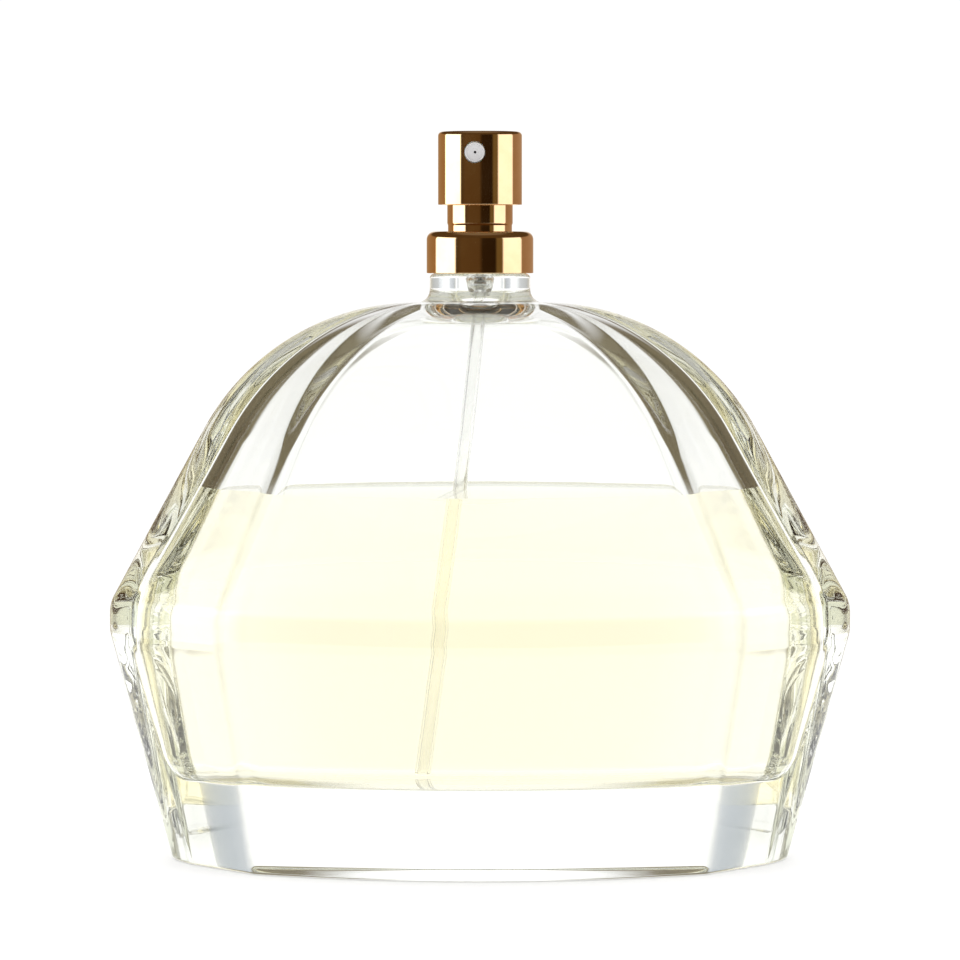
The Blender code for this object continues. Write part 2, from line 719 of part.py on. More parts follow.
def closure_ring(collection):
    """The ring that keeps the stem in, with a guide that shows through the ferrule's top."""
    turned("closure_ring", [
        (CLOSURE_BORE_RADIUS, CLOSURE_TOP),
        (CLOSURE_GUIDE_RADIUS, CLOSURE_TOP),
        (CLOSURE_GUIDE_RADIUS, CLOSURE_STEP),
        (SEAL_RADIUS, CLOSURE_STEP),
        (SEAL_RADIUS, CLOSURE_BOTTOM),
        (CLOSURE_BORE_RADIUS, CLOSURE_BOTTOM),
    ], collection, "white_plastic", None, SMALL_ROUND)


def ferrule(collection):
    """The pressed cup: turret, flange, skirt and the curl crimped under the glass bead."""
    outer = rounded([
        (TURRET_HOLE_RADIUS, TURRET_TOP, 0.0),
        (TURRET_RADIUS, TURRET_TOP, TURRET_ROUND),
        (TURRET_RADIUS, TURRET_FOOT_TOP, 0.0),
        (TURRET_FOOT_RADIUS, TURRET_FOOT_TOP - SHEET, 0.0),
        (TURRET_FOOT_RADIUS, FERRULE_FLANGE_TOP, 0.0),
        (FERRULE_RADIUS, FERRULE_FLANGE_TOP, FERRULE_ROUND),
        (FERRULE_RADIUS, FERRULE_BOTTOM + CURL_HEIGHT, 0.0),
        (CURL_RADIUS + 0.5 * SHEET, FERRULE_BOTTOM, 0.0),
        (CURL_RADIUS, FERRULE_BOTTOM + SHEET, 0.0),
    ], steps=3)
    inner = rounded([
        (FERRULE_RADIUS - SHEET, FERRULE_BOTTOM + CURL_HEIGHT + SHEET, 0.0),
        (FERRULE_RADIUS - SHEET, FERRULE_FLANGE_TOP - SHEET, FERRULE_ROUND - SHEET),
        (TURRET_FOOT_RADIUS - SHEET, FERRULE_FLANGE_TOP - SHEET, 0.0),
        (TURRET_FOOT_RADIUS - SHEET, TURRET_FOOT_TOP - SHEET, 0.0),
        (TURRET_RADIUS - SHEET, TURRET_FOOT_TOP, 0.0),
        (TURRET_RADIUS - SHEET, TURRET_TOP - SHEET, 0.0),
        (TURRET_HOLE_RADIUS, TURRET_TOP - SHEET, 0.0),
    ])
    cup = turned("ferrule", outer + inner, collection, "gold")
    settle(cup)


def collar(collection):
    """The loose outer collar that hides the ferrule's skirt."""
    outer = rounded([
        (COLLAR_HOLE_RADIUS, COLLAR_TOP, 0.0),
        (COLLAR_RADIUS, COLLAR_TOP, COLLAR_ROUND),
        (COLLAR_RADIUS, COLLAR_BOTTOM, 0.0),
        (COLLAR_RADIUS - COLLAR_WALL, COLLAR_BOTTOM, 0.0),
    ])
    inner = rounded([
        (COLLAR_RADIUS - COLLAR_WALL, COLLAR_BOTTOM, 0.0),
        (COLLAR_RADIUS - COLLAR_WALL, COLLAR_TOP - COLLAR_WALL, COLLAR_ROUND - COLLAR_WALL),
        (COLLAR_HOLE_RADIUS, COLLAR_TOP - COLLAR_WALL, 0.0),
    ])[1:]
    cover = turned("collar", outer + inner, collection, "gold")
    settle(cover)


# ---------------------------------------------------------------- the actuator

def nozzle_direction():
    """The way the spray leaves: forwards, turned a little about the pump's axis."""
    return Matrix.Rotation(NOZZLE_TURN, 3, "Z") @ Vector((0.0, -1.0, 0.0))


def nozzle_point(distance):
    return nozzle_direction() * distance + Vector((0.0, 0.0, NOZZLE_HEIGHT))


def actuator_shell(collection, cutters, parent):
    """The metal cap over the actuator, with a round window for the nozzle."""
    outer = rounded([
        (0.0, SHELL_TOP, 0.0),
        (SHELL_RADIUS, SHELL_TOP, SHELL_ROUND),
        (SHELL_RADIUS, SHELL_BOTTOM, 0.0),
    ], steps=4)
    bore = SHELL_RADIUS - SHELL_WALL
    inner = rounded([
        (bore, SHELL_BOTTOM, 0.0),
        (bore, SHELL_TOP - SHELL_WALL, SHELL_ROUND - SHELL_WALL),
        (0.0, SHELL_TOP - SHELL_WALL, 0.0),
    ], steps=3)
    shell = turned("actuator_shell", outer + inner, collection, "gold", parent)
    window = rod("shell_window", SHELL_NOZZLE_HOLE_RADIUS, nozzle_point(3.0 * MM),
                 nozzle_point(2.0 * SHELL_RADIUS), cutters)
    boolean(shell, window, "DIFFERENCE")
    settle(shell)


def actuator_insert(collection, cutters, parent):
    """The moulded core: a skirt, a boss that grips the stem and a socket for the nozzle."""
    edge = 0.3 * MM
    core = turned("actuator_insert", [
        (0.0, INSERT_TOP),
        (INSERT_RADIUS - edge, INSERT_TOP),
        (INSERT_RADIUS, INSERT_TOP - edge),
        (INSERT_RADIUS, INSERT_BOTTOM),
        (INSERT_SKIRT_RADIUS, INSERT_BOTTOM),
        (INSERT_SKIRT_RADIUS, INSERT_PLATE_BOTTOM),
        (INSERT_BOSS_RADIUS, INSERT_PLATE_BOTTOM),
        (INSERT_BOSS_RADIUS, INSERT_BOSS_BOTTOM),
        (STEM_SOCKET_RADIUS, INSERT_BOSS_BOTTOM),
        (STEM_SOCKET_RADIUS, STEM_SOCKET_TOP),
        (0.0, STEM_SOCKET_TOP),
    ], collection, "white_plastic", parent)
    inside_boss = 0.5 * (STEM_SOCKET_RADIUS + INSERT_BOSS_RADIUS)
    inside_wall = 0.5 * (INSERT_RADIUS + INSERT_SKIRT_RADIUS)
    boss = rod("nozzle_boss", NOZZLE_BOSS_RADIUS, nozzle_point(inside_boss),
               nozzle_point(inside_wall), cutters)
    socket = rod("nozzle_socket", NOZZLE_SOCKET_RADIUS, nozzle_point(NOZZLE_SOCKET_FLOOR),
                 nozzle_point(2.0 * INSERT_RADIUS), cutters)
    channel = rod("spray_channel", CHANNEL_RADIUS, nozzle_point(-0.2 * MM),
                  nozzle_point(NOZZLE_SOCKET_FLOOR + 0.5 * MM), cutters, 12)
    riser = rod("riser", CHANNEL_RADIUS, (0.0, 0.0, STEM_SOCKET_TOP - 0.5 * MM),
                (0.0, 0.0, NOZZLE_HEIGHT + 0.2 * MM), cutters, 12)
    boolean(core, boss, "UNION")
    for cutter in (socket, channel, riser):
        boolean(core, cutter, "DIFFERENCE")
    settle(core)


def nozzle_insert(collection, parent):
    """The spray insert: a dished face with a fine hole, which opens to the swirl chamber."""
    front = NOZZLE_LENGTH
    insert = turned("nozzle_insert", [
        (ORIFICE_RADIUS, front - NOZZLE_DISH_DEPTH),
        (0.6 * NOZZLE_DISH_RADIUS, front - 0.8 * NOZZLE_DISH_DEPTH),
        (NOZZLE_DISH_RADIUS, front),
        (NOZZLE_RADIUS - 0.1 * MM, front),
        (NOZZLE_RADIUS, front - 0.1 * MM),
        (NOZZLE_RADIUS, 0.0),
        (SWIRL_RADIUS, 0.0),
        (SWIRL_RADIUS, SWIRL_DEPTH),
        (ORIFICE_RADIUS, SWIRL_DEPTH),
    ], collection, "white_plastic", None, SMALL_ROUND)
    settle(insert)
    insert.location = nozzle_point(NOZZLE_FACE - NOZZLE_LENGTH)
    insert.rotation_mode = "QUATERNION"
    insert.rotation_quaternion = nozzle_direction().to_track_quat("Z", "Y")
    place_under(insert, parent)


# ---------------------------------------------------------------- the whole bottle

def build():
    clear_scene()
    parts = new_collection("perfume_bottle")
    cutters = new_collection("cutters")

    press_axis = add_axis("press_axis", STEM_COLLAR_TOP, parts)
    swivel_axis = add_axis("swivel_axis", STEM_TOP, parts)
    piston_axis = add_axis("piston_axis", PISTON_BOTTOM, parts)
    place_under(swivel_axis, press_axis)
    place_under(piston_axis, press_axis)

    glass_bottle(parts)
    perfume_liquid(parts, tube_channel(cutters))
    dip_tube(parts, cutters)

    pump_housing(parts)
    check_ball(parts, None)
    coil_spring("return_spring", CYLINDER_FLOOR + SEAT_GAP, POPPET_HEAD_BOTTOM - SEAT_GAP,
                RETURN_WIRE_RADIUS, RETURN_TURNS, parts)
    poppet(parts, press_axis)
    stem(parts, cutters, press_axis)
    piston(parts, piston_axis)
    coil_spring("precompression_spring", PISTON_TOP + SEAT_GAP, STEM_COLLAR_BOTTOM - SEAT_GAP,
                LIGHT_WIRE_RADIUS, LIGHT_TURNS, parts, press_axis)

    ring("neck_gasket", NECK_GASKET_BORE_RADIUS, NECK_GASKET_RADIUS, NECK_GASKET_BOTTOM,
         NECK_GASKET_TOP, parts, "grey_seal")
    ring("stem_gasket", STEM_RADIUS + RUNNING_GAP, SEAL_RADIUS, STEM_GASKET_BOTTOM,
         STEM_GASKET_TOP, parts, "grey_seal")
    closure_ring(parts)
    ferrule(parts)
    collar(parts)

    actuator_insert(parts, cutters, swivel_axis)
    actuator_shell(parts, cutters, swivel_axis)
    nozzle_insert(parts, swivel_axis)


build()
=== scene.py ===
"""Looks for a faceted glass perfume bottle with a crimped gold spray pump.

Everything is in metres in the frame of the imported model: +Z up, the base's centre at the
origin and the wide face towards -Y. Each piece is a surface worked out with numpy.
"""

from __future__ import annotations

import json
import logging
import math
from dataclasses import dataclass, field
from enum import Enum
from typing import Any, Sequence

import bpy
import numpy as np
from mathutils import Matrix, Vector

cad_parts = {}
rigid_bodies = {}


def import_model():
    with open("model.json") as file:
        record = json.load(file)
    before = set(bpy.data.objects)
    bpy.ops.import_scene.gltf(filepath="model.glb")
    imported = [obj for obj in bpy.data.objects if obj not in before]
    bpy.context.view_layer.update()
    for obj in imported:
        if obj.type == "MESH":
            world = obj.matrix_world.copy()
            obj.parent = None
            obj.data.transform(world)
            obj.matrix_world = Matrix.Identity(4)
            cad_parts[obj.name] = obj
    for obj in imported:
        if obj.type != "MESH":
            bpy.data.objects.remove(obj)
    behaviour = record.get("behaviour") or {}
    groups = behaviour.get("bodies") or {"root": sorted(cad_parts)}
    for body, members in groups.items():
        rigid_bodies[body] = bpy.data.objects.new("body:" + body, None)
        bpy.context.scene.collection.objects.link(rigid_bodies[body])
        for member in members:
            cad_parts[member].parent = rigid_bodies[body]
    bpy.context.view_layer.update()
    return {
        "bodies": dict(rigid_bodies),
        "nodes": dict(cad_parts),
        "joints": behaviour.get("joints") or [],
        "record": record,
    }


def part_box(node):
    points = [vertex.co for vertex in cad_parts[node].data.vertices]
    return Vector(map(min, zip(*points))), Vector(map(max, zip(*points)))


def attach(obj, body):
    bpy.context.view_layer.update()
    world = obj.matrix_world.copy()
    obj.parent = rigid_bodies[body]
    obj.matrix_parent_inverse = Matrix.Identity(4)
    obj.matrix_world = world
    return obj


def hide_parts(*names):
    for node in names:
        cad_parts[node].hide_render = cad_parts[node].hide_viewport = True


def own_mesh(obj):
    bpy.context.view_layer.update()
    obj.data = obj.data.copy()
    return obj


LOG = logging.getLogger("perfume_bottle")
MM = 0.001
TAU = math.tau

Corner = tuple[float, float, float]
Color = tuple[float, float, float]
Stop = tuple[float, Color]
Number = "float | Val"


# ------------------------------------------------------------------ shader expressions


class Tree:
    """A node tree that is filled by Python expressions."""

    def __init__(self, nodes: bpy.types.NodeTree) -> None:
        """Starts from an empty tree."""
        self.nodes = nodes
        nodes.nodes.clear()

    def node(
        self,
        kind: str,
        sockets: dict[str | int, Any] | None = None,
        stops: Sequence[Stop] = (),
        out: str | int = 0,
        **settings: Any,
    ) -> "Val":
        """Adds any node.

        Args:
            kind: the node's Blender type.
            sockets: input names or places, with a value or a Val for each.
            stops: for a colour ramp, its places and colours.
            out: which output the result stands for.
            settings: the node's own properties, which are set before its sockets.

        Returns:
            The chosen output as a value for further expressions.
        """
        made = self.nodes.nodes.new(kind)
        for key, value in settings.items():
            setattr(made, key, value)
        if stops:
            ramp = made.color_ramp
            while len(ramp.elements) < len(stops):
                ramp.elements.new(0.5)
            for element, (place, color) in zip(ramp.elements, stops):
                element.position = place
                element.color = (*color, 1.0)
        for key, value in (sockets or {}).items():
            socket = made.inputs[key]
            if isinstance(value, Val):
                self.nodes.links.new(value.socket, socket)
            elif value is not None:
                socket.default_value = value
        return Val(self, made.outputs[out])

    def math(self, operation: str, *values: Number) -> "Val":
        """One Math node on up to three values."""
        return self.node("ShaderNodeMath", dict(enumerate(values)), operation=operation)

    def place(self) -> "Val":
        """The point of the surface in the object's own coordinates."""
        return self.node("ShaderNodeTexCoord", out="Object")

    def noise(self, scale: float, detail: float = 3.0, roughness: float = 0.5,
              stretch: tuple[float, float, float] = (1.0, 1.0, 1.0)) -> "Val":
        """Fractal noise in the object's own coordinates.

        Args:
            scale: how many features lie in a metre.
            detail: how many finer octaves are added.
            roughness: how strong the finer octaves are.
            stretch: the share of the scale along each axis.

        Returns:
            The noise, from 0 to 1.
        """
        where = self.node("ShaderNodeMapping", {"Vector": self.place(), "Scale": stretch})
        sockets = {"Vector": where, "Scale": scale, "Detail": detail, "Roughness": roughness}
        return self.node("ShaderNodeTexNoise", sockets)

    def mix(self, factor: Number, first: Any, second: Any) -> "Val":
        """A colour between two colours.

        Args:
            factor: 0 for the first colour and 1 for the second.
            first: a colour, or a Val that holds one.
            second: the same.

        Returns:
            The mixed colour.
        """
        sockets = {"Factor": factor, "A": first, "B": second}
        made = self.node("ShaderNodeMix", data_type="RGBA")
        owner = made.socket.node
        for key, value in sockets.items():
            kind = "VALUE" if key == "Factor" else "RGBA"
            socket = next(s for s in owner.inputs if s.name == key and s.type == kind)
            if isinstance(value, Val):
                self.nodes.links.new(value.socket, socket)
            elif key == "Factor":
                socket.default_value = value
            else:
                socket.default_value = (*value, 1.0)
        return Val(self, next(s for s in owner.outputs if s.type == "RGBA"))

    def bump(self, height: "Val", distance: float, strength: float = 1.0) -> "Val":
        """A normal bent by a height field, whose full range stands the given distance high."""
        sockets = {"Height": height, "Distance": distance, "Strength": strength}
        return self.node("ShaderNodeBump", sockets)

    def surface(self, shader: "Val", volume: "Val | None" = None) -> None:
        """Ends a material.

        Args:
            shader: the surface's shader.
            volume: the shader of what is inside, if it isn't clear.
        """
        sockets = {"Surface": shader}
        if volume is not None:
            sockets["Volume"] = volume
        made = self.nodes.nodes.new("ShaderNodeOutputMaterial")
        for key, value in sockets.items():
            self.nodes.links.new(value.socket, made.inputs[key])


@dataclass(frozen=True)
class Val:
    """One node output, on which arithmetic adds Math nodes."""

    tree: Tree
    socket: bpy.types.NodeSocket

    def __add__(self, other: Number) -> "Val":
        """Self plus other."""
        return self.tree.math("ADD", self, other)

    def __mul__(self, other: Number) -> "Val":
        """Self times other."""
        return self.tree.math("MULTIPLY", self, other)

    def __sub__(self, other: Number) -> "Val":
        """Self less other."""
        return self.tree.math("SUBTRACT", self, other)

    def __rsub__(self, other: Number) -> "Val":
        """Other less self."""
        return self.tree.math("SUBTRACT", other, self)

    def __truediv__(self, other: Number) -> "Val":
        """Self over other."""
        return self.tree.math("DIVIDE", self, other)

    __radd__ = __add__
    __rmul__ = __mul__

    def smooth(self, low: float, high: float) -> "Val":
        """0 below low and 1 above high, with a soft step between."""
        sockets = {"Value": self, "From Min": low, "From Max": high}
        return self.tree.node("ShaderNodeMapRange", sockets, interpolation_type="SMOOTHSTEP")


# ------------------------------------------------------------------ finishes


@dataclass(frozen=True)
class Finish:
    """What every finish shares: a name and the record's slot that it stands for."""

    name: str
    slot: str

    def material(self) -> bpy.types.Material:
        """The finish as a Blender material, made once.

        Returns:
            The material.
        """
        if self.name in bpy.data.materials:
            return bpy.data.materials[self.name]
        made = bpy.data.materials.new(self.name)
        made.use_nodes = True
        self.paint(Tree(made.node_tree))
        return made

    def paint(self, tree: Tree) -> None:
        """Fills the material's node tree.

        Args:
            tree: the material's empty node tree.
        """
        raise NotImplementedError


@dataclass(frozen=True)
class ClearGlass(Finish):
    """Moulded soda glass: faintly green in its depth, wavy inside, with painted shade along its ridges.
    """

    tint: Color = (0.955, 0.975, 0.95)
    depth_tint: Color = (0.84, 0.90, 0.72)
    depth_density: float = 1.6
    ior: float = 1.51
    # Painted shade: a dark colour laid along the ridges in place of the dark lines that their refraction
    # gives.
    ridge_painted_shade: Color = (0.14, 0.17, 0.09)
    ridge_rise: float = 0.7

    def paint(self, tree: Tree) -> None:
        """Low swells from the mould, a trace of haze, and painted shade that darkens the ridges.

        Args:
            tree: the material's empty node tree.
        """
        inner = tree.node("ShaderNodeAttribute", out="Fac", attribute_name="inner_wall")
        swell = tree.noise(38.0, 1.5, 0.4, (1.0, 1.0, 0.6))
        ripple = tree.noise(150.0, 2.0, 0.5)
        ridge = tree.node("ShaderNodeAttribute", out="Fac", attribute_name="ridge")
        # The ridge mask raises the ridges a little and also paints shade on them through the base colour.
        ridge_relief_and_painted_shade = ridge * (ripple.smooth(0.3, 0.7) * 0.6 + 0.4)
        height = (swell + ripple * 0.12) * (inner * 0.85 + 0.15) + ridge_relief_and_painted_shade * self.ridge_rise
        haze = tree.noise(60.0, 4.0)
        clear = tree.mix(haze * 0.4, (0.995, 0.998, 0.993), self.tint)
        sockets = {
            "Base Color": tree.mix(ridge_relief_and_painted_shade, clear, self.ridge_painted_shade),
            "Roughness": haze * 0.012,
            "IOR": self.ior,
            "Transmission Weight": 1.0,
            "Normal": tree.bump(height, 0.06 * MM),
        }
        volume = tree.node(
            "ShaderNodeVolumeAbsorption",
            {"Color": (*self.depth_tint, 1.0), "Density": self.depth_density},
        )
        tree.surface(tree.node("ShaderNodeBsdfPrincipled", sockets), volume)


@dataclass(frozen=True)
class Perfume(Finish):
    """A clear pale yellow spirit, which deepens with the length of the way through it."""

    depth_tint: Color = (1.0, 0.83, 0.06)
    depth_density: float = 5.8
    ior: float = 1.362

    def paint(self, tree: Tree) -> None:
        """Slow streaks in the liquid, too faint to see as more than a change of warmth.

        Args:
            tree: the material's empty node tree.
        """
        streak = tree.noise(25.0, 2.0, 0.5, (1.0, 1.0, 0.3))
        sockets = {
            "Base Color": tree.mix(streak, (1.0, 1.0, 0.99), (1.0, 0.995, 0.965)),
            "Roughness": streak * 0.004,
            "IOR": self.ior,
            "Transmission Weight": 1.0,
        }
        volume = tree.node(
            "ShaderNodeVolumeAbsorption",
            {"Color": (*self.depth_tint, 1.0), "Density": self.depth_density},
        )
        tree.surface(tree.node("ShaderNodeBsdfPrincipled", sockets), volume)


@dataclass(frozen=True)
class Gold(Finish):
    """Polished anodised aluminium, with drawing lines round it and rubbed edges."""

    light: Color = (0.86, 0.62, 0.36)
    dark: Color = (0.80, 0.54, 0.29)

    def paint(self, tree: Tree) -> None:
        """Fine lines round the axis, soft smears, and edges that are worn a little paler.

        Args:
            tree: the material's empty node tree.
        """
        lines = tree.noise(900.0, 2.0, 0.5, (0.02, 0.02, 1.0))
        smear = tree.noise(140.0, 4.0, 0.6)
        edge = tree.node("ShaderNodeNewGeometry", out="Pointiness").smooth(0.52, 0.60)
        color = tree.mix(smear.smooth(0.3, 0.7), self.dark, self.light)
        sockets = {
            "Base Color": tree.mix(edge * 0.35, color, (0.94, 0.76, 0.50)),
            "Metallic": 1.0,
            "Roughness": smear.smooth(0.35, 0.8) * 0.04 + lines * 0.03 + 0.03,
            "Normal": tree.bump(lines + smear * 0.3, 0.004 * MM),
        }
        tree.surface(tree.node("ShaderNodeBsdfPrincipled", sockets))


@dataclass(frozen=True)
class Moulded(Finish):
    """An injection-moulded plastic or rubber, plain or translucent."""

    light: Color = (0.90, 0.90, 0.88)
    dark: Color = (0.84, 0.84, 0.81)
    roughness: float = 0.38
    clearness: float = 0.0
    scatter: float = 0.0
    ior: float = 1.49
    grain: float = 0.01 * MM

    def paint(self, tree: Tree) -> None:
        """Cloudy colour from the melt, and a fine grain in the gloss and in the relief.

        Args:
            tree: the material's empty node tree.
        """
        cloud = tree.noise(120.0, 3.0, 0.55)
        grain = tree.noise(2600.0, 3.0, 0.6)
        sockets = {
            "Base Color": tree.mix(cloud.smooth(0.3, 0.7), self.dark, self.light),
            "Roughness": cloud * 0.12 + grain * 0.08 + (self.roughness - 0.1),
            "IOR": self.ior,
            "Transmission Weight": self.clearness,
            "Subsurface Weight": self.scatter,
            "Subsurface Scale": 0.6 * MM,
            "Normal": tree.bump(grain, self.grain),
        }
        tree.surface(tree.node("ShaderNodeBsdfPrincipled", sockets))


@dataclass(frozen=True)
class Steel(Finish):
    """Drawn or ground steel, for the springs and the ball."""

    light: Color = (0.70, 0.70, 0.71)
    dark: Color = (0.52, 0.52, 0.54)

    def paint(self, tree: Tree) -> None:
        """Small scratches and a slightly uneven grey.

        Args:
            tree: the material's empty node tree.
        """
        cloud = tree.noise(700.0, 4.0, 0.6)
        scratch = tree.noise(5200.0, 2.0, 0.5)
        sockets = {
            "Base Color": tree.mix(cloud, self.dark, self.light),
            "Metallic": 1.0,
            "Roughness": cloud * 0.12 + scratch * 0.06 + 0.12,
            "Normal": tree.bump(scratch, 0.002 * MM),
        }
        tree.surface(tree.node("ShaderNodeBsdfPrincipled", sockets))


@dataclass(frozen=True)
class PaleFloor(Finish):
    """A seamless white table top."""

    glow: float = 0.40

    def paint(self, tree: Tree) -> None:
        """White with a trace of unevenness, and some light of its own as on a light table.

        Args:
            tree: the material's empty node tree.
        """
        cloud = tree.noise(9.0, 3.0)
        sockets = {
            "Base Color": tree.mix(cloud, (0.90, 0.90, 0.90), (0.94, 0.94, 0.935)),
            "Roughness": cloud * 0.1 + 0.6,
            "Specular IOR Level": 0.2,
            "Emission Color": (1.0, 1.0, 1.0, 1.0),
            "Emission Strength": self.glow,
        }
        tree.surface(tree.node("ShaderNodeBsdfPrincipled", sockets))


class Finishes(Enum):
    """The finishes of this bottle."""

    GLASS = ClearGlass("clear_moulded_glass", "clear_glass")
    PERFUME = Perfume("pale_perfume", "perfume")
    GOLD = Gold("polished_gold", "gold")
    STEEL = Steel("ground_steel", "steel")
    WHITE = Moulded("white_moulding", "white_plastic", scatter=0.25)
    # The nozzle's white moulding is painted grey all over: painted shade in place of the shade that falls
    # in its dished face.
    NOZZLE = Moulded("nozzle_with_painted_shade", "white_plastic", (0.70, 0.69, 0.69), (0.60, 0.59, 0.59), 0.25)
    TUBE = Moulded(
        "translucent_tube", "clear_plastic", (0.995, 0.995, 0.99), (0.97, 0.97, 0.96), 0.13, 1.0, ior=1.46
    )
    HOUSING = Moulded(
        "translucent_housing", "clear_plastic", (0.98, 0.98, 0.975), (0.94, 0.94, 0.93), 0.14, 1.0
    )
    SEAL = Moulded("grey_seal_rubber", "grey_seal", (0.46, 0.46, 0.45), (0.38, 0.38, 0.37), 0.62)
    FLOOR = PaleFloor("white_table", "")


# ------------------------------------------------------------------ surfaces


def spaced(count: int) -> np.ndarray:
    """Shares from 0 to 1 that crowd at both ends: half of one less the cosine of a half turn."""
    return 0.5 - 0.5 * np.cos(np.linspace(0.0, math.pi, count))


def outline(corners: Sequence[Corner], run: int = 6, bend: int = 8) -> np.ndarray:
    """A line through corners, each turned by an arc.

    The arc at a corner has its centre on the corner's bisector, at the radius over the sine
    of the half angle. Straight runs get points that crowd towards the arcs.

    Args:
        corners: across, height and radius of each corner.
        run: how many pieces a straight run has.
        bend: how many pieces an arc has.

    Returns:
        The points, one row each.
    """
    points = np.array([corner[:2] for corner in corners])
    entries, exits, arcs = [points[0]], [points[0]], [points[:1]]
    for i in range(1, len(corners) - 1):
        before = points[i - 1] - points[i]
        after = points[i + 1] - points[i]
        before = before / np.linalg.norm(before)
        after = after / np.linalg.norm(after)
        half_angle = 0.5 * math.acos(float(np.clip(before @ after, -1.0, 1.0)))
        radius = max(corners[i][2], 1e-6)
        reach = radius / math.tan(half_angle)
        bisector = (before + after) / np.linalg.norm(before + after)
        centre = points[i] + bisector * radius / math.sin(half_angle)
        first, last = points[i] + before * reach - centre, points[i] + after * reach - centre
        start = math.atan2(first[1], first[0])
        turn = (math.atan2(last[1], last[0]) - start + math.pi) % TAU - math.pi
        angles = start + turn * np.linspace(0.0, 1.0, bend + 1)
        arcs.append(centre + radius * np.stack([np.cos(angles), np.sin(angles)], axis=1))
        entries.append(arcs[-1][0])
        exits.append(arcs[-1][-1])
    entries.append(points[-1])
    pieces = []
    for arc, leave, enter in zip(arcs, exits, entries[1:]):
        straight = leave + (enter - leave) * spaced(run + 1)[1:-1, None]
        pieces += [arc, straight]
    return np.concatenate([*pieces, points[-1:]])


def tile(points: np.ndarray, name: str, start_pole: bool, end_pole: bool, loop: bool = False,
         smooth_angle: float = 180.0) -> bpy.types.Object:
    """A mesh over a grid that closes round its second index.

    Args:
        points: the grid, as rows, columns and three coordinates.
        name: the object's name.
        start_pole: whether the first row is one point.
        end_pole: whether the last row is one point.
        loop: whether the last row joins the first.
        smooth_angle: edges that turn by more degrees than this are sharp.

    Returns:
        The object, with its faces outward.
    """
    rows, columns = points.shape[:2]
    index = np.arange(rows * columns).reshape(rows, columns)
    below = index if loop else index[:-1]
    above = np.roll(index, -1, axis=0) if loop else index[1:]
    quads = np.stack(
        [below, np.roll(below, -1, axis=1), np.roll(above, -1, axis=1), above], axis=-1
    ).reshape(-1, 4)
    verts = points.reshape(-1, 3).copy()
    merge = np.arange(len(verts))
    if start_pole:
        merge[index[0]] = index[0, 0]
    if end_pole:
        merge[index[-1]] = index[-1, 0]
    used, compact = np.unique(merge, return_inverse=True)
    quads = compact[quads]
    verts = verts[used]
    if signed_volume(verts, quads) < 0.0:
        quads = quads[:, ::-1]
    mesh = bpy.data.meshes.new(name)
    faces = [tuple(dict.fromkeys(face)) for face in quads.tolist()]
    mesh.from_pydata(verts, [], faces)
    mesh.shade_smooth()
    if smooth_angle < 180.0:
        mesh.set_sharp_from_angle(angle=math.radians(smooth_angle))
    made = bpy.data.objects.new(name, mesh)
    bpy.context.scene.collection.objects.link(made)
    return made


def signed_volume(verts: np.ndarray, quads: np.ndarray) -> float:
    """The volume, as the sum of the tetrahedra from the origin to each half face.

    Args:
        verts: the points.
        quads: four point numbers for each face.

    Returns:
        The volume, which is below 0 if the faces point inward.
    """
    first, second, third, fourth = (verts[quads[:, i]] for i in range(4))
    halves = np.cross(first, second) * third + np.cross(first, third) * fourth
    return float(halves.sum()) / 6.0


def turned(corners: Sequence[Corner], name: str, sides: int = 96, loop: bool = False, run: int = 6,
           bend: int = 8, smooth_angle: float = 180.0) -> bpy.types.Object:
    """A piece turned about Z: (radius cos a, radius sin a, height) for each profile point.

    Args:
        corners: radius, height and rounding of each corner of the profile.
        name: the object's name.
        sides: how many columns go round.
        loop: whether the profile closes on itself, as on a ring.
        run: how many pieces a straight run has.
        bend: how many pieces an arc has.
        smooth_angle: edges that turn by more degrees than this are sharp.

    Returns:
        The object.
    """
    profile = outline([*corners, corners[0]] if loop else corners, run, bend)
    if loop:
        profile = profile[:-1]
    angles = np.linspace(0.0, TAU, sides, endpoint=False)
    grid = np.empty((len(profile), sides, 3))
    grid[..., 0] = profile[:, None, 0] * np.cos(angles)
    grid[..., 1] = profile[:, None, 0] * np.sin(angles)
    grid[..., 2] = profile[:, None, 1]
    on_axis = (profile[0, 0] == 0.0, profile[-1, 0] == 0.0)
    return tile(grid, name, *on_axis, loop=loop, smooth_angle=smooth_angle)


def carve(body: bpy.types.Object, tool: bpy.types.Object) -> None:
    """Cuts one object out of another.

    Args:
        body: what is cut.
        tool: the shape to take away, which is then removed.
    """
    cut = body.modifiers.new("cut", "BOOLEAN")
    cut.operation = "DIFFERENCE"
    cut.object = tool
    cut.solver = "EXACT"
    bpy.context.view_layer.update()
    graph = bpy.context.evaluated_depsgraph_get()
    mesh = bpy.data.meshes.new_from_object(body.evaluated_get(graph))
    body.modifiers.clear()
    body.data = mesh
    bpy.data.objects.remove(tool, do_unlink=True)


def finish_piece(piece: bpy.types.Object, finish: Finishes, body: str, *nodes: str) -> bpy.types.Object:
    """Gives a piece all that it needs beside its mesh.

    Args:
        piece: the object.
        finish: its material and slot.
        body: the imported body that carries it.
        nodes: the CAD nodes that it stands for.

    Returns:
        The same object.
    """
    piece.data.materials.clear()
    piece.data.materials.append(finish.value.material())
    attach(piece, body)
    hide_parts(*nodes)
    LOG.info("%s: %d faces, rides on %s", piece.name, len(piece.data.polygons), body)
    return piece


# ------------------------------------------------------------------ the glass body


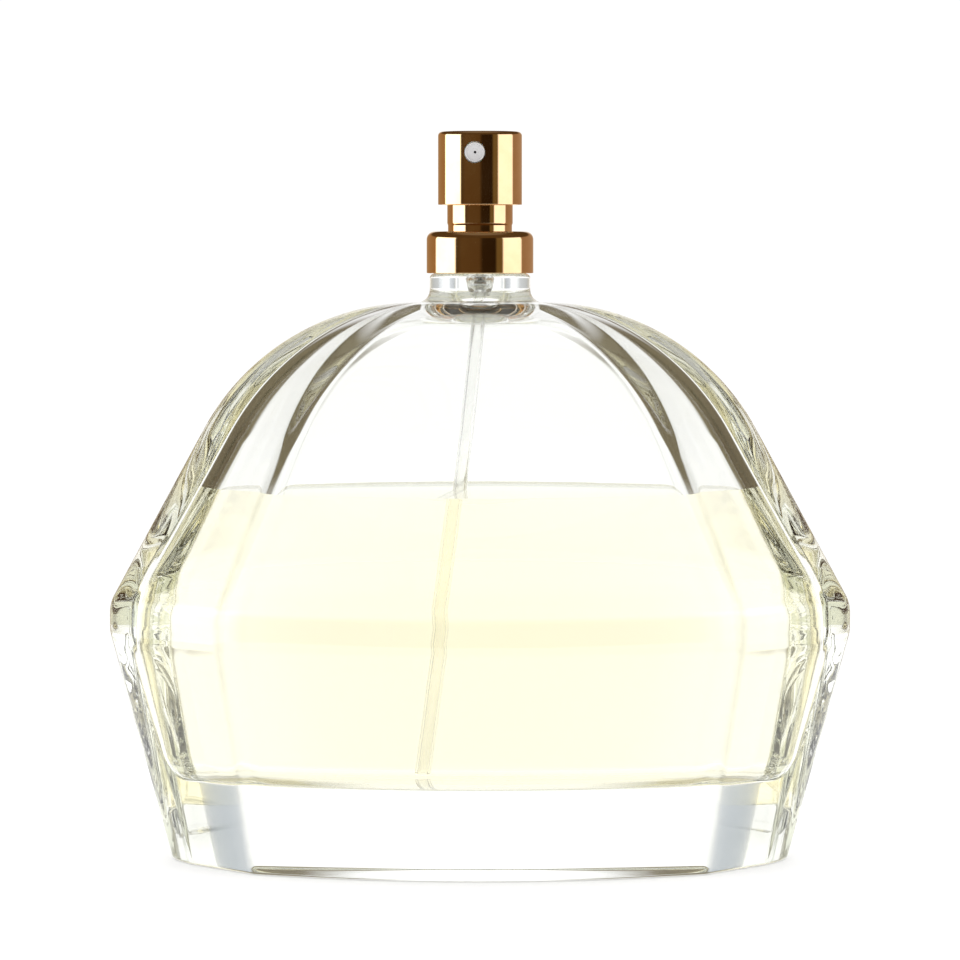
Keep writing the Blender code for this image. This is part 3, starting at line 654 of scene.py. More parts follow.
@dataclass(frozen=True)
class Plan:
    """The faceted plan of the body: a bulged front facet, a flat chamfer and a bulged side."""

    side_ridge: tuple[float, float]
    front_ridge: tuple[float, float]
    aspect: float
    softness: float
    side_bulge: float = 1.4
    columns: int = 224
    stretch_steps: int = 64
    fine_steps: int = 4096

    def shape(self) -> np.ndarray:
        """The closed outline, in parts of the half width and the half depth.

        The sharp outline is averaged with a bell curve along its own length, which rounds its
        ridges, and then read at points that crowd where it turns.

        Returns:
            One row for each column, with the share of the half width and of the half depth.
        """
        t = np.linspace(0.0, 1.0, self.stretch_steps)
        (side_x, side_y), (front_x, front_y) = self.side_ridge, self.front_ridge
        side = np.stack([1.0 - (1.0 - side_x) * t ** self.side_bulge, side_y * t], axis=1)
        chamfer = np.stack([side_x + (front_x - side_x) * t, side_y + (front_y - side_y) * t], axis=1)
        front = np.stack([front_x * (1.0 - t), 1.0 - (1.0 - front_y) * (1.0 - t) ** 2], axis=1)
        quarter = np.concatenate([side[:-1], chamfer[:-1], front])
        half = np.concatenate([quarter, (quarter * (-1.0, 1.0))[-2::-1]])
        whole = np.concatenate([half[:-1], -half]) * (1.0, self.aspect)
        fine = self.resample(whole, self.fine_steps, np.ones(len(whole)))
        wave = np.fft.fftfreq(self.fine_steps, 1.0 / self.fine_steps)
        length = np.linalg.norm(np.diff(fine, axis=0, append=fine[:1]), axis=1).sum()
        bell = np.exp(-0.5 * (TAU * wave * self.softness / length) ** 2)
        soft = np.fft.ifft(np.fft.fft(fine, axis=0) * bell[:, None], axis=0).real
        turn = np.linalg.norm(np.roll(soft, -1, 0) - 2.0 * soft + np.roll(soft, 1, 0), axis=1)
        crowd = 1.0 + 3.0 * np.minimum(turn / turn.mean(), 4.0)
        soft = self.resample(np.concatenate([soft, soft[:1]]), self.columns, np.append(crowd, crowd[0]))
        return soft / np.abs(soft).max(axis=0)

    @staticmethod
    def resample(points: np.ndarray, count: int, weight: np.ndarray) -> np.ndarray:
        """Points along a line at equal steps of its length times a weight.

        Args:
            points: the line, which ends where it starts.
            count: how many points are wanted.
            weight: how closely the points lie near each given point.

        Returns:
            The new points, without the last one, which would be the first again.
        """
        step = np.linalg.norm(np.diff(points, axis=0), axis=1) * 0.5 * (weight[1:] + weight[:-1])
        run = np.concatenate([[0.0], np.cumsum(step)])
        at = np.linspace(0.0, run[-1], count, endpoint=False)
        return np.stack([np.interp(at, run, points[:, i]) for i in range(2)], axis=1)


@dataclass
class Wall:
    """One wall of the body: levels of half width and height, each with a faceted section."""

    base_plan: Plan
    waist_plan: Plan
    waist: float
    ratio: float
    neck_radius: float
    faceted_from: float
    round_from: float

    def grid(self, levels: np.ndarray) -> np.ndarray:
        """The wall's points.

        The half depth is the length of the sum of two sides: the ratio times the half width,
        and the part that makes it equal to the half width on the neck. The section goes from
        the base's plan to the waist's plan, and to an ellipse as the wall narrows to the neck.

        Args:
            levels: half width and height of each row.

        Returns:
            Rows, columns and three coordinates.
        """
        width = levels[:, 0]
        t = np.clip((self.faceted_from - width) / (self.faceted_from - self.round_from), 0.0, 1.0)
        share = (t * t * (3.0 - 2.0 * t))[:, None]
        depth = np.hypot(self.ratio * width, self.neck_radius * math.sqrt(1.0 - self.ratio ** 2))
        depth = np.where(share[:, 0] >= 1.0, width, depth)
        rise = np.clip(levels[:, 1] / self.waist, 0.0, 1.0)[:, None, None]
        shape = self.base_plan.shape() * (1.0 - rise) + self.waist_plan.shape() * rise
        swell = 1.0 - share + share / np.linalg.norm(shape, axis=2)
        grid = np.empty((*shape.shape[:2], 3))
        grid[..., 0] = shape[..., 0] * swell * width[:, None]
        grid[..., 1] = shape[..., 1] * swell * depth[:, None]
        grid[..., 2] = levels[:, 1, None]
        return grid


@dataclass
class GlassBody:
    """The thick glass body, its cavity and its crimp neck."""

    base_half_width: float = 49.4 * MM
    waist_half_width: float = 59.35 * MM
    waist_low: float = 36.6 * MM
    waist_high: float = 41.1 * MM
    base_round: float = 0.5 * MM
    waist_round: float = 6.0 * MM
    shoulder_height: float = 89.3 * MM
    lean: float = math.radians(28.5)
    neck_radius: float = 8.05 * MM
    neck_root: float = 2.0 * MM
    neck_top: float = 93.6 * MM
    groove_radius: float = 6.4 * MM
    bead_radius: float = 7.5 * MM
    bead_bottom: float = 95.7 * MM
    bore_radius: float = 3.8 * MM
    floor_height: float = 14.1 * MM
    ceiling_height: float = 85.2 * MM
    cavity_base_half_width: float = 45.9 * MM
    cavity_waist_half_width: float = 52.2 * MM
    floor_round: float = 5.0 * MM
    cavity_waist_round: float = 16.0 * MM
    cavity_neck_round: float = 1.0 * MM
    outer: Wall = field(init=False)
    inner: Wall = field(init=False)

    def __post_init__(self) -> None:
        """Makes the two walls from the sizes."""
        self.outer = Wall(
            Plan((0.928, 0.28), (0.722, 0.70), 0.60, 0.014),
            Plan((0.928, 0.28), (0.69, 0.70), 0.60, 0.014),
            self.waist_low, 0.58, self.neck_radius, 24.0 * MM, 10.05 * MM,
        )
        cavity = Plan((0.92, 0.28), (0.735, 0.66), 0.54, 0.020)
        self.inner = Wall(
            cavity, cavity, self.waist_low, 0.52, self.bore_radius, 14.4 * MM, 6.3 * MM
        )

    @property
    def waist(self) -> float:
        """The height of the cavity's widest level."""
        return 0.5 * (self.waist_low + self.waist_high)

    def outer_levels(self, lip: float) -> np.ndarray:
        """The outer wall's profile, from the middle of the base to the bore.

        Args:
            lip: the height of the bead's top.

        Returns:
            Half width and height of each level.
        """
        top = self.waist_half_width - math.tan(self.lean) * (self.shoulder_height - self.waist_high)
        root = self.neck_radius + self.neck_root
        shoulder_round = 0.999 * (top - root) / math.tan(0.5 * (0.5 * math.pi - self.lean))
        body = outline([
            (0.0, 0.0, 0.0),
            (self.base_half_width, 0.0, self.base_round),
            (self.waist_half_width, self.waist_low, self.waist_round),
            (self.waist_half_width, self.waist_high, self.waist_round),
            (0.5 * (top + self.waist_half_width), 0.5 * (self.shoulder_height + self.waist_high), 0.0),
        ], run=14, bend=6)[:-1]
        shoulder = outline([
            (self.waist_half_width, self.waist_high, 0.0),
            (top, self.shoulder_height, shoulder_round),
            (root, self.shoulder_height, 0.0),
        ], run=1, bend=56)[1:-1]
        neck = outline([
            (root, self.shoulder_height, 0.0),
            (self.neck_radius, self.shoulder_height, 0.995 * self.neck_root),
            (self.neck_radius, self.neck_top, 0.6 * MM),
            (self.groove_radius, self.neck_top + 0.6 * MM, 0.35 * MM),
            (self.groove_radius, self.bead_bottom - 0.2 * MM, 0.35 * MM),
            (self.bead_radius, self.bead_bottom, 0.35 * MM),
            (self.bead_radius, lip, 0.6 * MM),
            (self.bore_radius, lip, 0.6 * MM),
            (self.bore_radius, self.neck_top, 0.0),
        ], run=4, bend=6)[1:-1]
        return np.concatenate([body, shoulder, neck])

    def cavity_levels(self, grow: float = 0.0) -> np.ndarray:
        """The cavity's profile, from the middle of its floor up to its bore.

        Args:
            grow: how far the profile is moved outward, into the glass.

        Returns:
            Half width and height of each level.
        """
        top = self.cavity_waist_half_width - math.tan(self.lean) * (self.ceiling_height - self.waist)
        side = self.bore_radius + self.cavity_neck_round
        ceiling_round = 0.999 * (top - side) / math.tan(0.5 * (0.5 * math.pi - self.lean))
        halfway = 0.5 * (self.ceiling_height + self.waist)
        body = outline([
            (0.0, self.floor_height - grow, 0.0),
            (self.cavity_base_half_width + grow, self.floor_height - grow, self.floor_round),
            (self.cavity_waist_half_width + grow, self.waist, self.cavity_waist_round),
            (0.5 * (top + self.cavity_waist_half_width) + grow, halfway, 0.0),
        ], run=14, bend=14)[:-1]
        ceiling = outline([
            (self.cavity_waist_half_width + grow, self.waist, 0.0),
            (top + grow, self.ceiling_height, ceiling_round),
            (side, self.ceiling_height, 0.0),
        ], run=1, bend=40)[1:-1]
        root = outline([
            (side, self.ceiling_height, 0.0),
            (self.bore_radius, self.ceiling_height, 0.99 * self.cavity_neck_round),
            (self.bore_radius, self.neck_top, 0.0),
        ], run=5, bend=8)[1:]
        return np.concatenate([body, ceiling, root])

    def ridge_share(self, grid: np.ndarray) -> np.ndarray:
        """How sharply the wall turns at each column of its widest level.

        The turn is the sine of the angle between neighbouring steps, over the step's length. The
        cube keeps only the crest of each ridge.

        Args:
            grid: the wall's points.

        Returns:
            A share for each column, 1 on the sharpest.
        """
        section = grid[np.argmax(grid[:, 0, 0])][:, :2]
        before = section - np.roll(section, 1, axis=0)
        after = np.roll(section, -1, axis=0) - section
        turn = np.abs(before[:, 0] * after[:, 1] - before[:, 1] * after[:, 0])
        length = np.linalg.norm(before, axis=1) * np.linalg.norm(after, axis=1)
        bend = np.arcsin(turn / length) / np.sqrt(length)
        return (bend / bend.max()) ** 3

    def build(self) -> bpy.types.Object:
        """Lofts the outer wall, turns over the lip and comes down the cavity.

        Returns:
            The glass, with its inner wall and its outer ridges marked for its finish, which paints shade
            along the ridges.
        """
        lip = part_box("glass_bottle")[1].z
        levels = self.outer_levels(lip)
        outer = self.outer.grid(levels)
        inner = self.inner.grid(self.cavity_levels()[::-1])
        glass = tile(np.concatenate([outer, inner]), "faceted_glass_body", True, True, smooth_angle=40.0)
        count = len(glass.data.vertices)
        inside = np.zeros(count, np.float32)
        inside[count - (len(inner) - 1) * inner.shape[1] - 1:] = 1.0
        faceted = levels[1:, 0] > self.outer.faceted_from
        marked = faceted[:, None] * self.ridge_share(outer)
        crest = np.zeros(count, np.float32)
        crest[1:1 + marked.size] = marked.reshape(-1)
        for name, values in (("inner_wall", inside), ("ridge", crest)):
            glass.data.attributes.new(name, "FLOAT", "POINT").data.foreach_set("value", values)
        return finish_piece(glass, Finishes.GLASS, "bottle", "glass_bottle")


@dataclass
class PerfumeFill:
    """The perfume: the cavity's shape up to its level, let a hair into the glass all round."""

    body: GlassBody
    into_glass: float = 0.04 * MM
    into_tube: float = 0.02 * MM
    meniscus_rise: float = 0.3 * MM
    meniscus_width: float = 2.2 * MM
    surface_rows: int = 40

    def build(self, tube: "DipTube") -> bpy.types.Object:
        """Takes the wall up to the level and closes it with a surface that climbs at its rim.

        The surface's height is the level plus the rise times a falling exponential of the
        distance from the glass.

        Args:
            tube: the dip tube, which is cut out of the liquid.

        Returns:
            The liquid.
        """
        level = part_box("perfume_liquid")[1].z
        wetted = level + self.meniscus_rise
        levels = self.body.cavity_levels(self.into_glass)
        top_width = np.interp(wetted, levels[:, 1], levels[:, 0])
        levels = np.concatenate([levels[levels[:, 1] < wetted], [[top_width, wetted]]])
        wall = self.body.inner.grid(levels)
        rim = wall[-1]
        inward = (1.0 - np.linspace(0.0, 1.0, self.surface_rows + 1)[1:, None]) ** 2.5
        surface = np.empty((self.surface_rows, *rim.shape))
        surface[..., 0] = rim[:, 0] * inward
        surface[..., 1] = rim[:, 1] * inward
        gap = np.linalg.norm(rim[None, :, :2] - surface[..., :2], axis=2)
        surface[..., 2] = level + self.meniscus_rise * np.exp(-gap / (0.4 * self.meniscus_width))
        grid = np.concatenate([wall, surface])
        fill = tile(grid, "perfume_fill", True, True, smooth_angle=60.0)
        carve(fill, tube.shell("tube_in_perfume", self.into_tube))
        fill.data.shade_smooth()
        fill.data.set_sharp_from_angle(angle=math.radians(50.0))
        return finish_piece(fill, Finishes.PERFUME, "bottle", "perfume_liquid")


# ------------------------------------------------------------------ the dip tube


@dataclass
class DipTube:
    """The tube from the pump to the cavity's floor, straight at its socket and then leaning."""

    radius: float = 1.05 * MM
    bore_radius: float = 0.68 * MM
    bend_height: float = 89.0 * MM
    bend_length: float = 2.0 * MM
    lean: float = 0.108
    lean_back: float = 0.2

    def route(self, top: float, end: float, count: int = 90) -> np.ndarray:
        """Points down the tube, whose shift is a hyperbola that starts upright and tends to the lean.

        Args:
            top: the height of the first point.
            end: the height of the last point.
            count: how many points there are.

        Returns:
            The points, one row each.
        """
        height = np.linspace(top, end, count)
        down = np.maximum(self.bend_height - height, 0.0)
        shift = np.hypot(down, self.bend_length) - self.bend_length
        return np.stack([-self.lean * shift, self.lean_back * shift, height], axis=1)

    def shell(self, name: str, thinner: float) -> bpy.types.Object:
        """The tube's wall as one closed loop of profile along its route.

        Args:
            name: the object's name.
            thinner: how far both faces are moved into the wall.

        Returns:
            The object.
        """
        low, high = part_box("dip_tube")
        path = self.route(high.z, low.z)
        along = np.gradient(path, axis=0)
        along /= np.linalg.norm(along, axis=1, keepdims=True)
        side = np.cross(along, (0.0, 1.0, 0.0))
        side /= np.linalg.norm(side, axis=1, keepdims=True)
        up = np.cross(side, along)
        angles = np.linspace(0.0, TAU, 40, endpoint=False)[None, :, None]
        ring = np.cos(angles) * side[:, None] + np.sin(angles) * up[:, None]
        outside = path[:, None] + (self.radius - thinner) * ring
        inside = path[::-1, None] + (self.bore_radius + thinner) * ring[::-1]
        return tile(np.concatenate([outside, inside]), name, False, False, loop=True, smooth_angle=50.0)

    def build(self) -> bpy.types.Object:
        """The visible tube."""
        return finish_piece(self.shell("leaning_dip_tube", 0.0), Finishes.TUBE, "bottle", "dip_tube")


# ------------------------------------------------------------------ the pump


@dataclass
class Ferrule:
    """The pressed cup that is crimped under the glass bead, with its turret showing."""

    sheet: float = 0.38 * MM
    turret_radius: float = 5.25 * MM
    foot_radius: float = 5.13 * MM
    foot_top: float = 101.9 * MM
    flange_top: float = 100.17 * MM
    skirt_radius: float = 7.98 * MM
    hole_radius: float = 3.15 * MM
    curl_radius: float = 6.9 * MM

    def build(self) -> bpy.types.Object:
        """Turns the cup's profile: over the turret, along the flange, down the skirt and back.

        Returns:
            The ferrule.
        """
        low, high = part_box("ferrule")
        sheet = self.sheet
        cup = turned([
            (self.hole_radius, high.z, 0.08 * MM),
            (self.turret_radius, high.z, 0.5 * MM),
            (self.turret_radius, self.foot_top, 0.3 * MM),
            (self.foot_radius, self.foot_top - sheet, 0.3 * MM),
            (self.foot_radius, self.flange_top, 0.25 * MM),
            (self.skirt_radius, self.flange_top, 0.9 * MM),
            (self.skirt_radius, low.z + 0.45 * MM, 0.3 * MM),
            (self.curl_radius + 0.5 * sheet, low.z, 0.1 * MM),
            (self.curl_radius, low.z + sheet, 0.08 * MM),
            (self.skirt_radius - sheet, low.z + 0.45 * MM + sheet, 0.1 * MM),
            (self.skirt_radius - sheet, self.flange_top - sheet, 0.5 * MM),
            (self.foot_radius - sheet, self.flange_top - sheet, 0.2 * MM),
            (self.foot_radius - sheet, self.foot_top - sheet, 0.1 * MM),
            (self.turret_radius - sheet, self.foot_top, 0.1 * MM),
            (self.turret_radius - sheet, high.z - sheet, 0.15 * MM),
            (self.hole_radius, high.z - sheet, 0.08 * MM),
        ], "crimped_ferrule", loop=True, run=4, bend=5, smooth_angle=60.0)
        return finish_piece(cup, Finishes.GOLD, "bottle", "ferrule")


@dataclass
class OuterCollar:
    """The loose collar that hides the ferrule's skirt."""

    wall: float = 0.4 * MM
    hole_radius: float = 5.45 * MM
    top_round: float = 1.3 * MM

    def build(self) -> bpy.types.Object:
        """Turns the collar's profile, with a rounded shoulder and a rolled lower edge.

        Returns:
            The collar.
        """
        low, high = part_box("collar")
        radius, wall = high.x, self.wall
        cover = turned([
            (self.hole_radius, high.z, 0.1 * MM),
            (radius, high.z, self.top_round),
            (radius, low.z, 0.12 * MM),
            (radius - wall, low.z, 0.12 * MM),
            (radius - wall, high.z - wall, self.top_round - wall),
            (self.hole_radius, high.z - wall, 0.1 * MM),
        ], "gold_collar", sides=128, loop=True, run=8, bend=8, smooth_angle=60.0)
        return finish_piece(cover, Finishes.GOLD, "bottle", "collar")


@dataclass
class Actuator:
    """The gold shell with its window, and the white nozzle that shows in it."""

    wall: float = 0.4 * MM
    top_round: float = 0.7 * MM
    nozzle_turn: float = math.radians(-7.5)
    nozzle_height: float = 113.1 * MM
    nozzle_face: float = 6.5 * MM
    nozzle_radius: float = 1.6 * MM
    nozzle_length: float = 1.9 * MM
    window_radius: float = 1.72 * MM
    window_start: float = 3.0 * MM
    orifice_radius: float = 0.22 * MM
    dish_radius: float = 1.3 * MM
    rim_radius: float = 1.38 * MM
    swirl_radius: float = 0.5 * MM
    swirl_depth: float = 1.2 * MM

    def facing(self) -> np.ndarray:
        """The direction of the spray: forwards, turned about the pump's axis."""
        return np.array([math.sin(self.nozzle_turn), -math.cos(self.nozzle_turn), 0.0])

    def aimed(self, piece: bpy.types.Object, distance: float) -> None:
        """Lays a piece that was turned about Z along the spray.

        Args:
            piece: the object, whose points are moved.
            distance: how far its base then is from the pump's axis.
        """
        forward = self.facing()
        side = np.array([-forward[1], forward[0], 0.0])
        up = np.array([0.0, 0.0, 1.0])
        frame = np.stack([side, up, forward], axis=1)
        count = len(piece.data.vertices)
        flat = np.empty(count * 3)
        piece.data.vertices.foreach_get("co", flat)
        points = flat.reshape(-1, 3) @ frame.T + forward * distance + up * self.nozzle_height
        piece.data.vertices.foreach_set("co", points.reshape(-1))
        if np.linalg.det(frame) < 0.0:
            piece.data.flip_normals()
        piece.data.update()

    def shell(self) -> bpy.types.Object:
        """The actuator's metal shell, turned, with the window cut through its side.

        Returns:
            The shell.
        """
        low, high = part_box("actuator_shell")
        radius, wall = high.x, self.wall
        cap = turned([
            (0.0, high.z, 0.0),
            (radius, high.z, self.top_round),
            (radius, low.z, 0.12 * MM),
            (radius - wall, low.z, 0.12 * MM),
            (radius - wall, high.z - wall, self.top_round - wall),
            (0.0, high.z - wall, 0.0),
        ], "gold_actuator_shell", sides=144, run=12, bend=8)
        window = turned([
            (0.0, 0.0, 0.0),
            (self.window_radius, 0.0, 0.0),
            (self.window_radius, radius, 0.0),
            (0.0, radius, 0.0),
        ], "window_tool", sides=64, run=1, bend=1)
        self.aimed(window, self.window_start)
        carve(cap, window)
        cap.data.shade_smooth()
        cap.data.set_sharp_from_angle(angle=math.radians(50.0))
        return finish_piece(cap, Finishes.GOLD, "actuator", "actuator_shell")

    def nozzle(self) -> bpy.types.Object:
        """The dished face round a fine hole, with a rounded rim and the swirl chamber behind.

        Returns:
            The nozzle.
        """
        front, radius = self.nozzle_length, self.nozzle_radius
        spout = turned([
            (self.orifice_radius, front - 0.45 * MM, 0.03 * MM),
            (0.6 * MM, front - 0.50 * MM, 0.3 * MM),
            (self.dish_radius, front - 0.30 * MM, 0.12 * MM),
            (self.rim_radius, front, 0.08 * MM),
            (radius, front, 0.10 * MM),
            (radius, 0.0, 0.1 * MM),
            (self.swirl_radius, 0.0, 0.05 * MM),
            (self.swirl_radius, self.swirl_depth, 0.05 * MM),
            (self.orifice_radius, self.swirl_depth, 0.03 * MM),
        ], "spray_nozzle", sides=72, loop=True, run=4, bend=5, smooth_angle=60.0)
        self.aimed(spout, self.nozzle_face - front)
        return finish_piece(spout, Finishes.NOZZLE, "actuator", "nozzle_insert")

    def build(self) -> list[bpy.types.Object]:
        """Both pieces."""
        return [self.shell(), self.nozzle()]


@dataclass
class Housing:
    """The pump's clear housing, whose tail and ball seat show through the neck."""

    tower_radius: float = 4.7 * MM
    tower_bore: float = 3.6 * MM
    flange_top: float = 99.75 * MM
    flange_bottom: float = 99.05 * MM
    barrel_radius: float = 3.3 * MM
    barrel_bottom: float = 94.5 * MM
    taper_radius: float = 2.5 * MM
    taper_top: float = 93.8 * MM
    tail_top_radius: float = 1.75 * MM
    tail_top: float = 90.4 * MM
    tail_radius: float = 1.65 * MM
    socket_radius: float = 1.1 * MM
    socket_top: float = 90.7 * MM
    inlet_radius: float = 0.5 * MM
    seat_bottom: float = 91.1 * MM
    seat_top: float = 92.0 * MM
    ball_room_radius: float = 1.2 * MM
    ball_room_top: float = 93.15 * MM
    rib_radius: float = 0.98 * MM
    rib_top: float = 93.9 * MM
    cylinder_radius: float = 2.6 * MM
    cylinder_top: float = 103.9 * MM

    def build(self) -> bpy.types.Object:
        """Turns the housing's profile from the tower down to the tail and back up its bores.

        Returns:
            The housing.
        """
        low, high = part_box("pump_housing")
        piece = turned([
            (self.tower_bore, high.z, 0.05 * MM),
            (self.tower_radius, high.z, 0.35 * MM),
            (self.tower_radius, self.flange_top, 0.1 * MM),
            (high.x, self.flange_top, 0.1 * MM),
            (high.x, self.flange_bottom, 0.1 * MM),
            (self.barrel_radius, self.flange_bottom, 0.2 * MM),
            (self.barrel_radius, self.barrel_bottom, 0.3 * MM),
            (self.taper_radius, self.taper_top, 0.3 * MM),
            (self.tail_top_radius, self.tail_top, 0.05 * MM),
            (self.tail_radius, self.tail_top - 0.1 * MM, 0.05 * MM),
            (self.tail_radius, low.z, 0.15 * MM),
            (self.socket_radius, low.z, 0.05 * MM),
            (self.socket_radius, self.socket_top, 0.05 * MM),
            (self.inlet_radius, self.socket_top, 0.05 * MM),
            (self.inlet_radius, self.seat_bottom, 0.1 * MM),
            (self.ball_room_radius, self.seat_top, 0.2 * MM),
            (self.ball_room_radius, self.ball_room_top, 0.05 * MM),
            (self.rib_radius, self.ball_room_top, 0.05 * MM),
            (self.rib_radius, self.rib_top, 0.05 * MM),
            (self.cylinder_radius, self.rib_top, 0.1 * MM),
            (self.cylinder_radius, self.cylinder_top, 0.05 * MM),
            (self.tower_bore, self.cylinder_top, 0.05 * MM),
        ], "clear_pump_housing", sides=72, loop=True, run=3, bend=4, smooth_angle=60.0)
        return finish_piece(piece, Finishes.HOUSING, "bottle", "pump_housing")


@dataclass
class Ball:
    """The steel ball on the inlet seat."""

    rings: int = 25
    sides: int = 40

    def build(self) -> bpy.types.Object:
        """A sphere of rings: radius times the sine of the polar angle, round the ball's centre.

        Returns:
            The ball.
        """
        low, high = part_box("check_ball")
        centre, radius = 0.5 * (low + high), 0.5 * (high.z - low.z)
        polar = np.linspace(0.0, math.pi, self.rings)[:, None]
        round_it = np.linspace(0.0, TAU, self.sides, endpoint=False)[None, :]
        grid = np.stack([
            centre.x + radius * np.sin(polar) * np.cos(round_it),
            centre.y + radius * np.sin(polar) * np.sin(round_it),
            centre.z + radius * np.cos(polar) * np.ones_like(round_it),
        ], axis=-1)
        ball = tile(grid, "steel_inlet_ball", True, True)
        return finish_piece(ball, Finishes.STEEL, "ball", "check_ball")


@dataclass
class Spring:
    """A compression spring with closed ends."""

    node: str
    name: str
    body: str
    joint: str
    turns: float
    wire_radius: float
    travel: float
    anchored_at_top: bool = False
    mean_radius: float = 1.78 * MM
    steps_a_turn: int = 36
    sides: int = 12

    def build(self) -> bpy.types.Object:
        """A helix whose height lags at both ends by a sine of one turn, swept by the wire.

        Returns:
            The spring.
        """
        low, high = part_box(self.node)
        share = np.linspace(0.0, 1.0, int(self.turns * self.steps_a_turn))
        angle = TAU * self.turns * share
        rise = high.z - low.z - 2.0 * self.wire_radius
        height = low.z + self.wire_radius + rise * (share - np.sin(TAU * share) / (3.0 * TAU))
        radius = self.mean_radius
        path = np.stack([radius * np.cos(angle), radius * np.sin(angle), height], axis=1)
        coil = self.coil(path, angle)
        finish_piece(coil, Finishes.STEEL, self.body, self.node)
        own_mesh(coil)
        return coil

    def coil(self, path: np.ndarray, angle: np.ndarray) -> bpy.types.Object:
        """The wire round the path: each section lies in the plane of the axis and the radius.

        Args:
            path: the wire's middle line.
            angle: how far round the axis each of its points is.

        Returns:
            The wire, closed flat at both ends.
        """
        outward = np.stack([np.cos(angle), np.sin(angle), np.zeros_like(angle)], axis=1)
        spin = np.linspace(0.0, TAU, self.sides, endpoint=False)[None, :, None]
        up = np.array([0.0, 0.0, 1.0])
        ring = np.cos(spin) * outward[:, None] + np.sin(spin) * up
        grid = path[:, None] + self.wire_radius * ring
        first = np.broadcast_to(path[:1, None], (1, self.sides, 3))
        last = np.broadcast_to(path[-1:, None], (1, self.sides, 3))
        return tile(np.concatenate([first, grid, last]), self.name, True, True, smooth_angle=50.0)


# ------------------------------------------------------------------ carried-over nodes


CARRIED = {
    "poppet": Finishes.WHITE,
    "piston": Finishes.WHITE,
    "stem": Finishes.WHITE,
    "closure_ring": Finishes.WHITE,
    "actuator_insert": Finishes.WHITE,
    "stem_gasket": Finishes.SEAL,
    "neck_gasket": Finishes.SEAL,
}


def dress_carried(nodes: dict[str, bpy.types.Object]) -> None:
    """Gives each CAD node that stays its material.

    Args:
        nodes: the CAD objects by name.
    """
    for name, finish in CARRIED.items():
        node = nodes[name]
        node.data.materials.clear()
        node.data.materials.append(finish.value.material())
        LOG.info("%s: carried over as %s", name, finish.value.name)


# ------------------------------------------------------------------ the studio


